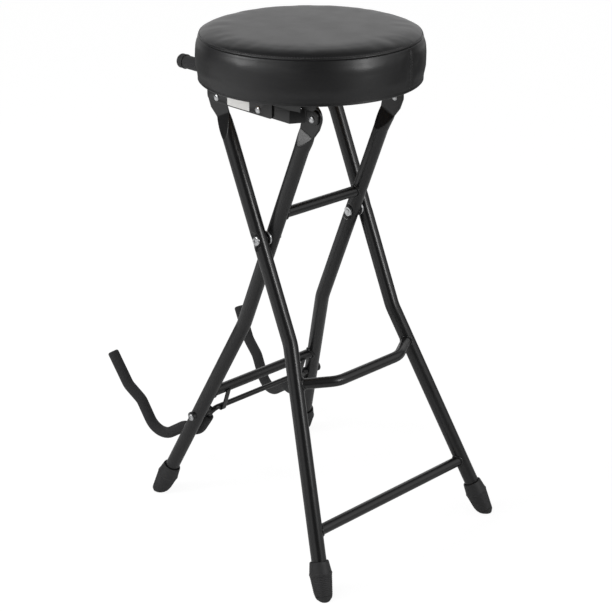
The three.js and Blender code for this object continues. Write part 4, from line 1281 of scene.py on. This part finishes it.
class STOOL_OT_cradle(bpy.types.Operator):
    """Makes the cradle's bent rod, its pivot bosses and its two foam sleeves"""

    bl_idname = "stool.cradle"
    bl_label = "Cradle"

    def execute(self, context):
        powder = finish_of("powder")
        boss, boss_radius, crank_bend = BOSS_END - 13, 6.6, 12
        right = trimmed(arm_corners(), 0, 5.3)
        left = [flipped(p) for p in reversed(right)]
        radii = [*reversed(ARM_BENDS), crank_bend, crank_bend, *ARM_BENDS]
        parts = [bent_tube([*left, *right], radii, ROD_RADIUS, powder, sides=32)]
        pivot = INNER.at(CRADLE_PIVOT_HEIGHT)
        corners = [(boss, 0), (boss, boss_radius), (BOSS_END, boss_radius), (BOSS_END, 0)]
        profile = eased(corners, [0.8, 0.8], 4)
        for sign in SIDES.values():
            turned_profile = [(along * sign, radius) for along, radius in profile]
            mesh = mesh_of(lathe(turned_profile, (0, pivot.y, pivot.z), ALONG_X, 40))
            mesh.materials.append(powder)
            parts.append(mesh)
        joined("cradle_bent_rod", parts, "cradle", ["cradle_rod"])
        form = sleeve_form(context.scene.stool_sizes.foam_sleeve / 2 / MM)
        for side, sign in SIDES.items():
            mesh = mesh_of(sided(form, sign), 45)
            obj = piece(f"cradle_foam_{side}", mesh, "cradle", finish_of("foam"),
                        [f"cradle_sleeve_{side}"])
        return {"FINISHED"}


# ---------------------------------------------------------------- neck rest
class STOOL_OT_neck_rest(bpy.types.Operator):
    """Makes the fork that holds a guitar's neck, with its foam sleeves and rubber caps"""

    bl_idname = "stool.neck_rest"
    bl_label = "Neck rest"

    def execute(self, context):
        radius = context.scene.stool_sizes.neck_sleeve / 2 / MM
        rod_radius, rod_bend, rod_end = 4.0, 12, FORK_TIP - 6.5
        right = [(FORK_HALF_GAP, y, FORK_HEIGHT) for y in (rod_end, FORK_CROSS_RUN)]
        corners = [*right, *(flipped(p) for p in reversed(right))]
        mesh = bent_tube(corners, [rod_bend] * 2, rod_radius, finish_of("powder"), sides=32)
        piece("neck_fork_rod", mesh, "neck_rest", replaces=["neck_fork"])
        back, front, bore = NECK_SLEEVE_BACK, FORK_TIP - 13.3, 4.4
        corners = [(back + 5, bore), (back, bore), (back, radius), (front, radius), (front, bore)]
        sleeve = eased(corners, [0.4, 2.2, 0.8], 6)
        corners = [(-13, 4.3), (-13, 11.2), (-10.8, 11.2), (-10, 10.7), (-2.6, 10.9), (0, 9.4),
                   (-0.9, 7.6), (-1.3, 0)]
        corners = [(FORK_TIP + along, reach) for along, reach in corners]
        cap = eased(corners, [0.8, 0.8, 0.5, 0.8, 1.6, 0.9], 5)
        for side, sign in SIDES.items():
            origin = (FORK_HALF_GAP * sign, 0, FORK_HEIGHT)
            mesh = mesh_of(lathe(sleeve, origin, ALONG_Y, 48, closed=True), 45)
            obj = piece(f"neck_foam_{side}", mesh, "neck_rest", finish_of("foam"),
                        [f"neck_sleeve_{side}"])
            mesh = mesh_of(lathe(cap, origin, ALONG_Y, 48))
            piece(f"neck_rubber_cap_{side}", mesh, "neck_rest", finish_of("rubber"),
                  [f"neck_cap_{side}"])
        return {"FINISHED"}


# ---------------------------------------------------------------- seat
SEAT_RADIUS = 160.0
SEAT_BOTTOM = 691.0
SEAT_SEAM = 750.5
COVER_BOTTOM = 688.9
SEAT_CROWN = 765.0
SEAM_RADIUS = 157.6
BOARD_RADIUS = 150.3
POCKET_TOP = 703.3
STITCH_RING = 153.0
STAPLE_RING = 141.0
SIDE_SEAM = math.radians(-75)
SEAT_STEPS = 288
TOP_FOLLOWS = 0.24


def quadratic(a, b, c, steps):
    """Points along a curve from a to c that leans towards b, without the first."""
    points = []
    for t in (k / steps for k in range(1, steps + 1)):
        weights = (1 - t) ** 2, 2 * t * (1 - t), t * t
        points.append(tuple(sum(w * v for w, v in zip(weights, trio)) for trio in zip(a, b, c)))
    return points


def seat_outline():
    """The cover's outside from its bottom edge to the middle of the top, as (radius, height)."""
    lip = [(-3.6, 0), (-1.4, 0.2), (-0.5, 1.2), (-0.5, 2.4), (-0.9, 3.4)]
    lip = [(SEAT_RADIUS + out, COVER_BOTTOM + up) for out, up in lip]
    low, high, steps = lip[-1][1], SEAT_SEAM - 1.6, 22
    band = []
    for t in (k / steps for k in range(1, steps)):
        bulge = 1.1 * math.sin(math.pi * t) ** 0.7 - 1.8 * max(0.0, (t - 0.72) / 0.28) ** 2.2
        band.append((SEAT_RADIUS - 0.6 + bulge, low + t * (high - low)))
    seam = [(0.55, -1.3), (0.15, -0.7), (-1.2, -0.1), (-0.35, 0.5), (-0.15, 1.2), (-0.55, 2.2)]
    seam = [(SEAM_RADIUS + out, SEAT_SEAM + up) for out, up in seam]
    edge, inside = (SEAM_RADIUS - 8.5, SEAT_SEAM + 10.4), (126.0, SEAT_SEAM + 10.9)
    shoulder = quadratic(seam[-1], edge, inside, 16)
    top = quadratic(shoulder[-1], (70.0, SEAT_CROWN - 2.8), (0.0, SEAT_CROWN - 2.7), 30)
    return lip + band + seam + shoulder + top


def swollen_field(voxel, limit):
    """Inflates a coarse copy of the seat as cloth: its points, and how far each one moved."""
    profile = [
        (SEAT_BOTTOM, 0.0), (SEAT_BOTTOM, SEAT_RADIUS - 1.4), (SEAT_SEAM - 6, SEAT_RADIUS - 1.2),
        (SEAT_SEAM, SEAM_RADIUS), (SEAT_SEAM + 9.0, 146.0), (SEAT_SEAM + 10.4, 120.0),
        (SEAT_CROWN - 3, 60.0), (SEAT_CROWN - 2.6, 0.0),
    ]
    obj = added("scratch", mesh_of(lathe(profile, ORIGIN, (0, 0, 1), 96)))
    remesh = obj.modifiers.new("even", "REMESH")
    remesh.mode, remesh.voxel_size = "VOXEL", voxel
    mesh = evaluated(obj)
    drop(obj)
    obj = added("scratch", mesh)
    start = [v.co.copy() for v in mesh.vertices]
    held = obj.vertex_groups.new(name="held")
    for v in mesh.vertices:
        x, y, z = v.co.x / MM, (v.co.y - SEAT_MIDDLE) / MM, v.co.z / MM
        reach = math.hypot(x, y)
        on_rim = reach > 150
        on_seam = on_rim and abs(z - SEAT_SEAM) < 3.2
        off_side = abs(math.atan2(y, x) - SIDE_SEAM) * reach
        on_side_seam = on_rim and z < SEAT_SEAM and off_side < 2.5
        if z < SEAT_BOTTOM + 3 or on_seam or on_side_seam:
            held.add([v.index], 1.0, "REPLACE")
    cloth = obj.modifiers.new("padding", "CLOTH")
    cloth.settings.vertex_group_mass = "held"
    cloth.settings.quality = 6
    cloth.settings.use_pressure = True
    cloth.settings.uniform_pressure_force = 4.0
    cloth.settings.effector_weights.gravity = 0.0
    cloth.settings.shrink_min = -0.012
    cloth.settings.bending_stiffness = 1.5
    cloth.point_cache.frame_start, cloth.point_cache.frame_end = 1, 20
    for step in range(1, 21):
        bpy.context.scene.frame_set(step)
    moved = evaluated(obj)
    shifts = []
    for v, rest in zip(moved.vertices, start):
        shift = v.co - rest
        shifts.append(shift.normalized() * min(shift.length, limit) if shift.length > 0 else shift)
    obj.modifiers.remove(cloth)
    bpy.context.scene.frame_set(1)
    drop(obj)
    bpy.data.meshes.remove(moved)
    return start, shifts


def seat_angles():
    """Directions round the seat, closer together at the band's upright seam."""
    near = [-3.6, -2.2, -1.3, -0.7, -0.3, 0, 0.3, 0.7, 1.3, 2.2, 3.6]
    extra = [SIDE_SEAM + offset / SEAT_RADIUS for offset in near]
    even = [2 * math.pi * i / SEAT_STEPS - math.pi for i in range(SEAT_STEPS)]
    even = [a for a in even if abs(a - SIDE_SEAM) * SEAT_RADIUS > 4.2]
    return sorted(even + extra)


def cushion_mesh(sizes):
    """The padded seat: a fine skin that follows the swollen copy, with its seams drawn in."""
    outline = seat_outline()
    angles = seat_angles()
    low, high = outline[4][1], SEAT_SEAM
    start, shifts = swollen_field(sizes.voxel, sizes.swell_limit)
    tree = KDTree(len(start))
    for i, point in enumerate(start):
        tree.insert(point, i)
    tree.balance()

    def follow(point, share):
        if tree is None or share <= 0:
            return point
        total, weight = Vector((0, 0, 0)), 0.0
        for _, index, distance in tree.find_n(place(point), 8):
            near = 1 / (distance + 0.0008)
            total += shifts[index] * near
            weight += near
        return point + total / weight / MM * share

    rings = []
    for reach, height in outline:
        ring = []
        for angle in angles:
            out = Vector((math.cos(angle), math.sin(angle), 0))
            off_seam = abs(angle - SIDE_SEAM) * SEAT_RADIUS
            point = out * reach + Vector((0, 0, height))
            if low < height < high - 1.5:
                # The band swells between its welts, ripples, and draws in at its side seam.
                share = math.sin(math.pi * (height - low) / (high - 1.5 - low)) ** 0.5
                share *= min(1.0, off_seam / 14)
                point = follow(point, share)
                ripple = noise.noise(Vector((angle * 2.3, height * 0.16, 4.0)))
                ripple += 0.5 * noise.noise(Vector((angle * 5.1, height * 0.33, 9.0)))
                point += out * 0.28 * ripple * math.sin(math.pi * (height - low) / (high - low))
                groove = 1.15 * math.exp(-((off_seam / 0.85) ** 2))
                groove += 0.5 * math.exp(-((off_seam / 5.0) ** 2))
                point -= out * groove
            elif height > SEAT_SEAM + 1.5:
                # The top swells, puckers along its rim and wanders a little from flat.
                share = TOP_FOLLOWS * min(1.0, (height - SEAT_SEAM - 1.5) / 3)
                point = follow(point, share)
                pucker = noise.noise(Vector((angle * 26, reach * 0.09, 1.0)))
                rim = math.exp(-(((reach - 153.5) / 5.0) ** 2))
                point += Vector((0, 0, 0.22 * pucker * rim))
                wander = noise.noise(Vector((point.x * 0.012, point.y * 0.012, 3.0)))
                point += Vector((0, 0, 0.25 * wander * min(1.0, (SEAM_RADIUS - reach) / 20)))
            ring.append(point)
        rings.append(ring)
    pocket = [(1e-3, POCKET_TOP), (BOARD_RADIUS, POCKET_TOP), (BOARD_RADIUS, SEAT_BOTTOM)]
    inner = [[Vector((math.cos(a) * r, math.sin(a) * r, z)) for a in angles] for r, z in pocket]
    if max(p.z for p in rings[-1]) > SEAT_CROWN + 2:
        raise RuntimeError("the seat's padding has swollen past its crown")
    return mesh_of(skin(inner + rings), 38)


def stitch_form(length, thick):
    """One stitch along X: a short rounded bar."""
    half = length / 2
    end = [(half - 0.5, thick), (half - 0.15, thick * 0.7), (half, 0)]
    start = [(-along, radius) for along, radius in reversed(end)]
    return lathe(start + end, ORIGIN, ALONG_X, 8)


def seat_stitches(cushion, pitch):
    """Spots for the stitches: a row round the top above the seam, and a row on each side of the
    band's upright seam, laid on the cover."""
    work = bmesh.new()
    work.from_mesh(cushion)
    surface = BVHTree.FromBMesh(work)
    work.free()
    off_cover = SEAT_RADIUS + 15
    spots = []

    def lay(outside, inward, along):
        hit, normal, _, _ = surface.ray_cast(place(outside), inward)
        if hit is None:
            raise RuntimeError("a stitch found no cover to lie on")
        side = along.cross(normal).normalized()
        turn = Matrix((along, side, along.cross(side))).transposed().to_euler()
        point = (hit.x / MM, (hit.y - SEAT_MIDDLE) / MM, hit.z / MM)
        spots.append((point, tuple(turn), 1.0))

    for angle in turned(round(2 * math.pi * STITCH_RING / pitch)):
        out = Vector((math.cos(angle), math.sin(angle), 0))
        along = Vector((-out.y, out.x, 0))
        lay(out * off_cover + Vector((0, 0, SEAT_SEAM + 3.2)), -out, along)
    up = Vector((0, 0, 1))
    first, row = SEAT_BOTTOM + 5, 54
    for side in (-1, 1):
        angle = SIDE_SEAM + side * 2.6 / SEAT_RADIUS
        out = Vector((math.cos(angle), math.sin(angle), 0))
        for i in range(round(row / pitch)):
            lay(out * off_cover + up * (first + i * pitch), -out, up)
    return spots


def hem_form():
    """The cover's edge turned in under the board, cut a little unevenly on its inside."""
    section = [(151.4, 690.95), (151.4, 690.72), (134.0, 690.72), (133.6, 690.84), (134.0, 690.96)]
    rings = []
    for radius, height in section:
        ring = []
        for angle in turned(180):
            x, y = math.cos(angle), math.sin(angle)
            wave = 1.6 * noise.noise(Vector((x * 3, y * 3, 2.0))) if radius < STAPLE_RING else 0
            ring.append(Vector((x * (radius + wave), y * (radius + wave), height)))
        rings.append(ring)
    return skin(rings, closed=True)


def staple_spots():
    """Places round the hem, each a little askew, but for those that the rails cover."""
    spots = []
    for i, angle in enumerate(turned(30, start=0.5)):
        x, y = STAPLE_RING * math.cos(angle), STAPLE_RING * math.sin(angle)
        if not (76 < abs(x) < 112 and -42 < y < 108):
            askew = 0.2 * math.sin(7 * i)
            spots.append(((x, y, 690.62), (0, 0, angle + math.pi / 2 + askew), 1.0))
    return spots


def label_form():
    """A thin label with rounded corners on the left rail's outer face."""
    low_y, high_y, low_z, high_z, start = 11.0, 57.7, 656.2, 690.0, 30
    corners = [(start, low_z), (low_y, low_z), (low_y, high_z), (high_y, high_z), (high_y, low_z),
               (start + 0.01, low_z)]
    outline = eased(corners, [0.8] * 4, 3)[:-1]
    faces = (-RAIL_FACE + 0.02, -RAIL_FACE - 0.14)
    return skin([[Vector((x, y, z)) for y, z in outline] for x in faces])


class STOOL_OT_seat(bpy.types.Operator):
    """Makes the padded seat with its seams, its board, the cover's hem and the blank label"""

    bl_idname = "stool.seat"
    bl_label = "Seat"

    def execute(self, context):
        sizes = context.scene.stool_sizes
        vinyl = finish_of("vinyl")
        mesh = cushion_mesh(sizes)
        cover = piece("seat_cover", mesh, "seat", vinyl, ["seat_cushion"])
        pitch = sizes.stitch_pitch / MM
        stitch = at_origin(stitch_form(pitch * 0.66, 0.55), 60)
        mesh = scattered(stitch, seat_stitches(cover.data, pitch), finish_of("thread"), 60)
        piece("seat_stitches", mesh, "seat")

        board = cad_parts["seat_board"]
        board.data.materials.clear()
        board.data.materials.append(finish_of("plywood"))

        piece("seat_cover_hem", mesh_of(hem_form()), "seat", vinyl)
        wire = eased([(-4.6, 0), (-4.6, 0.32), (4.6, 0.32), (4.6, 0)], [0.2, 0.2], 2)
        staple = at_origin(lathe(wire, ORIGIN, ALONG_X, 8), 60)
        mesh = scattered(staple, staple_spots(), finish_of("zinc"), 60)
        piece("seat_staples", mesh, "seat")
        piece("rail_blank_label", mesh_of(label_form()), "seat", finish_of("paper"))
        return {"FINISHED"}


# ---------------------------------------------------------------- stage
CAMERA_BACK = Vector((-0.62719, -0.67025, 0.39674))
CAMERA_UP = Vector((0.27107, 0.28969, 0.91793))
CAMERA_RIGHT = Vector((0.73018, -0.68326, 0.0))
CAMERA_PLACE = (-1.4112, -1.5502, 1.2249)
CAMERA_LENS, CAMERA_SENSOR = 87.43, 36.0
WHITE = (1, 1, 1, 1)


def light(name, size, power, target, direction, distance):
    """An area light that points at a place from a direction."""
    data = bpy.data.lights.new(name, "AREA")
    data.shape, data.size, data.size_y, data.energy = "RECTANGLE", size[0], size[1], power
    obj = added(name, data)
    away = Vector(direction).normalized()
    obj.location = Vector(target) + away * distance
    obj.rotation_euler = away.to_track_quat("Z", "Y").to_euler()
    obj.visible_camera = False
    return obj


def facing(tree, source, direction, low, high, strength=1.0):
    """How far a vector points one way: 0 below one cosine, and full strength above another."""
    dot = add_node(
        tree, "ShaderNodeVectorMath", {"operation": "DOT_PRODUCT", 1: tuple(direction)}, {0: source}
    )
    settings = {"interpolation_type": "SMOOTHSTEP", 1: low, 2: high, 3: 0.0, 4: strength}
    return add_node(tree, "ShaderNodeMapRange", settings, {0: dot.outputs["Value"]}).outputs[0]


def make_floor(tone=0.9):
    """A pale sheet that is white for the camera but for the object's shadow. Glossy surfaces see it
    bright round the stool's feet and darker further out, which is painted shade. They also see
    painted reflections glowing on it where no lamp stands: the foot of a bright panel at the left
    and of a narrower one at the front."""
    wide, below = 6.0, -0.0004
    mesh = bpy.data.meshes.new("floor")
    corners = [(x * wide, y * wide, below) for x, y in ((-1, -1), (1, -1), (1, 1), (-1, 1))]
    mesh.from_pydata(corners, [], [(0, 1, 2, 3)])
    floor = added("floor", mesh)
    material = bpy.data.materials.new("studio_paper")
    material.use_nodes = True
    tree = material.node_tree
    tree.nodes.clear()
    rays = add_node(tree, "ShaderNodeLightPath").outputs
    where = add_node(tree, "ShaderNodeTexCoord").outputs["Object"]
    reach = add_node(
        tree, "ShaderNodeVectorMath", {"operation": "LENGTH"}, {0: where}
    ).outputs["Value"]
    outward = add_node(
        tree, "ShaderNodeVectorMath", {"operation": "NORMALIZE"}, {0: where}
    ).outputs["Vector"]
    # Painted shade: glossy rays see the sheet's colour drop from its tone at 0.9 m to 0.3 at 2.4 m.
    painted_far_shade = add_node(
        tree, "ShaderNodeMapRange",
        {"interpolation_type": "SMOOTHSTEP", 1: 0.9, 2: 2.4, 3: tone, 4: 0.3},
        {0: reach},
    )
    bright = add_node(
        tree, "ShaderNodeMix", {"data_type": "FLOAT", 2: tone},
        {0: rays["Is Glossy Ray"], 3: painted_far_shade.outputs[0]},
    )
    paper = add_node(tree, "ShaderNodeBsdfDiffuse", links={"Color": bright.outputs[0]})
    glow = add_node(tree, "ShaderNodeEmission", {"Color": WHITE, "Strength": 1.14})
    seen = add_node(
        tree, "ShaderNodeMath", {"operation": "MULTIPLY", 1: 0.8}, {0: rays["Is Camera Ray"]}
    )
    mixed = add_node(
        tree, "ShaderNodeMixShader",
        links={0: seen.outputs[0], 1: paper.outputs[0], 2: glow.outputs[0]},
    )
    # Painted reflection: glossy rays see the sheet glow in two sectors, to the left and to the
    # front, from 1.1 m outwards, where no lamp stands. It stands in for the foot of a bright panel
    # in each.
    left = facing(tree, outward, (-0.85, 0.53, 0), 0.77, 0.94)
    front = facing(tree, outward, (0.2, -0.98, 0), 0.9, 0.985)
    painted_panel_sectors = add_node(tree, "ShaderNodeMath", {"operation": "MAXIMUM"}, {0: left, 1: front})
    far = add_node(tree, "ShaderNodeMapRange", {1: 1.1, 2: 1.5, 4: 0.6}, {0: reach})
    painted_panel_glow = add_node(
        tree, "ShaderNodeMath", {"operation": "MULTIPLY"}, {0: painted_panel_sectors.outputs[0], 1: far.outputs[0]}
    )
    painted_reflection = add_node(
        tree, "ShaderNodeMath", {"operation": "MULTIPLY"},
        {0: painted_panel_glow.outputs[0], 1: rays["Is Glossy Ray"]},
    )
    # Painted reflection: this emission glows for glossy rays only.
    panel = add_node(
        tree, "ShaderNodeEmission", {"Color": WHITE}, {"Strength": painted_reflection.outputs[0]}
    )
    both = add_node(
        tree, "ShaderNodeAddShader", links={0: mixed.outputs[0], 1: panel.outputs[0]}
    )
    add_node(tree, "ShaderNodeOutputMaterial", links={"Surface": both.outputs[0]})
    mesh.materials.append(material)


def make_world(studio):
    """White for the camera. Glossy surfaces see a bright left and back, and a dim front right."""
    world = bpy.data.worlds.new("studio")
    bpy.context.scene.world = world
    world.use_nodes = True
    tree = world.node_tree
    tree.nodes.clear()
    rays = add_node(tree, "ShaderNodeLightPath").outputs
    view = add_node(tree, "ShaderNodeTexCoord").outputs["Generated"]
    towards_back = Vector((-CAMERA_BACK.x, -CAMERA_BACK.y, 0)).normalized()

    left = facing(tree, view, (-0.985, -0.174, 0), 0.86, 0.95, 0.8)
    back = facing(tree, view, towards_back, 0.58, 0.9)
    right = facing(tree, view, (0.56, -0.6, 0.57), 0.75, 0.95, 0.9)
    sides = add_node(tree, "ShaderNodeMath", {"operation": "MAXIMUM"}, {0: left, 1: right})
    brighter = add_node(
        tree, "ShaderNodeMath", {"operation": "MAXIMUM"}, {0: sides.outputs[0], 1: back}
    )
    studio_light = add_node(
        tree, "ShaderNodeMath", {"operation": "ADD", 1: 0.03}, {0: brighter.outputs[0]}
    )
    mirror = add_node(
        tree, "ShaderNodeMath", {"operation": "MAXIMUM"},
        {0: rays["Is Glossy Ray"], 1: rays["Is Transmission Ray"]},
    )
    strength = add_node(
        tree, "ShaderNodeMix", {"data_type": "FLOAT", 2: studio.ambient},
        {0: mirror.outputs[0], 3: studio_light.outputs[0]},
    )
    seen = add_node(
        tree, "ShaderNodeMix", {"data_type": "FLOAT", 3: 1.0},
        {0: rays["Is Camera Ray"], 2: strength.outputs[0]},
    )
    background = add_node(
        tree, "ShaderNodeBackground", {"Color": WHITE}, {"Strength": seen.outputs[0]}
    )
    add_node(tree, "ShaderNodeOutputWorld", links={"Surface": background.outputs[0]})


class STOOL_OT_stage(bpy.types.Operator):
    """Makes the camera, the pale floor and the studio light"""

    bl_idname = "stool.stage"
    bl_label = "Stage"

    def execute(self, context):
        scene = context.scene
        studio = scene.stool_studio
        data = bpy.data.cameras.new("camera")
        data.lens, data.sensor_width = CAMERA_LENS, CAMERA_SENSOR
        camera = added("camera", data)
        turn = Matrix((CAMERA_RIGHT, CAMERA_UP, CAMERA_BACK)).transposed()
        camera.matrix_world = Matrix.Translation(CAMERA_PLACE) @ turn.to_4x4()
        scene.camera = camera
        scene.view_settings.view_transform = "Standard"
        make_world(studio)
        make_floor()
        light("side", (0.5, 0.22), studio.side_power,
              (-0.08, -0.13, 0.64), (-0.877, 0.464, 0.37), 1.6)
        light("key", (1.6, 1.6), studio.key_power, (0, 0, 0.45), (-0.9, 0.1, 1.1), 2.2)
        strip = light("strip", (0.3, 0.4), studio.strip_power,
                      (0, 0, 0.57), (0.16, -0.96, 0.31), 2.4)
        strip.visible_diffuse = False
        return {"FINISHED"}


# ---------------------------------------------------------------- add-on
STEPS = (
    STOOL_OT_stage, STOOL_OT_legs, STOOL_OT_cross_tubes, STOOL_OT_foot_tips, STOOL_OT_fixings,
    STOOL_OT_plates, STOOL_OT_cradle, STOOL_OT_neck_rest, STOOL_OT_seat,
)


class STOOL_PT_panel(bpy.types.Panel):
    """Lists the stool's sizes, colours and pieces"""

    bl_idname = "STOOL_PT_panel"
    bl_label = "Folding guitar stool"
    bl_space_type = "VIEW_3D"
    bl_region_type = "UI"
    bl_category = "Stool"

    def draw(self, context):
        for name in GROUPS:
            group = getattr(context.scene, name)
            box = self.layout.box()
            for size in group.__annotations__:
                box.prop(group, size)
        for step in STEPS:
            self.layout.operator(step.bl_idname)


GROUPS = {"stool_sizes": StoolSizes, "stool_colours": StoolColours, "stool_studio": StoolStudio}


def register():
    """Adds the properties, the operators and the panel to Blender."""
    for cls in (*GROUPS.values(), *STEPS, STOOL_PT_panel):
        bpy.utils.register_class(cls)
    for name, group in GROUPS.items():
        setattr(bpy.types.Scene, name, bpy.props.PointerProperty(type=group))


def unregister():
    """Takes them out again."""
    for name in GROUPS:
        delattr(bpy.types.Scene, name)
    for cls in reversed((*GROUPS.values(), *STEPS, STOOL_PT_panel)):
        bpy.utils.unregister_class(cls)


def main():
    """Makes the stage and every piece."""
    register()
    for step in STEPS:
        group, name = step.bl_idname.split(".")
        getattr(getattr(bpy.ops, group), name)()


if __name__ == "__main__":
    main()
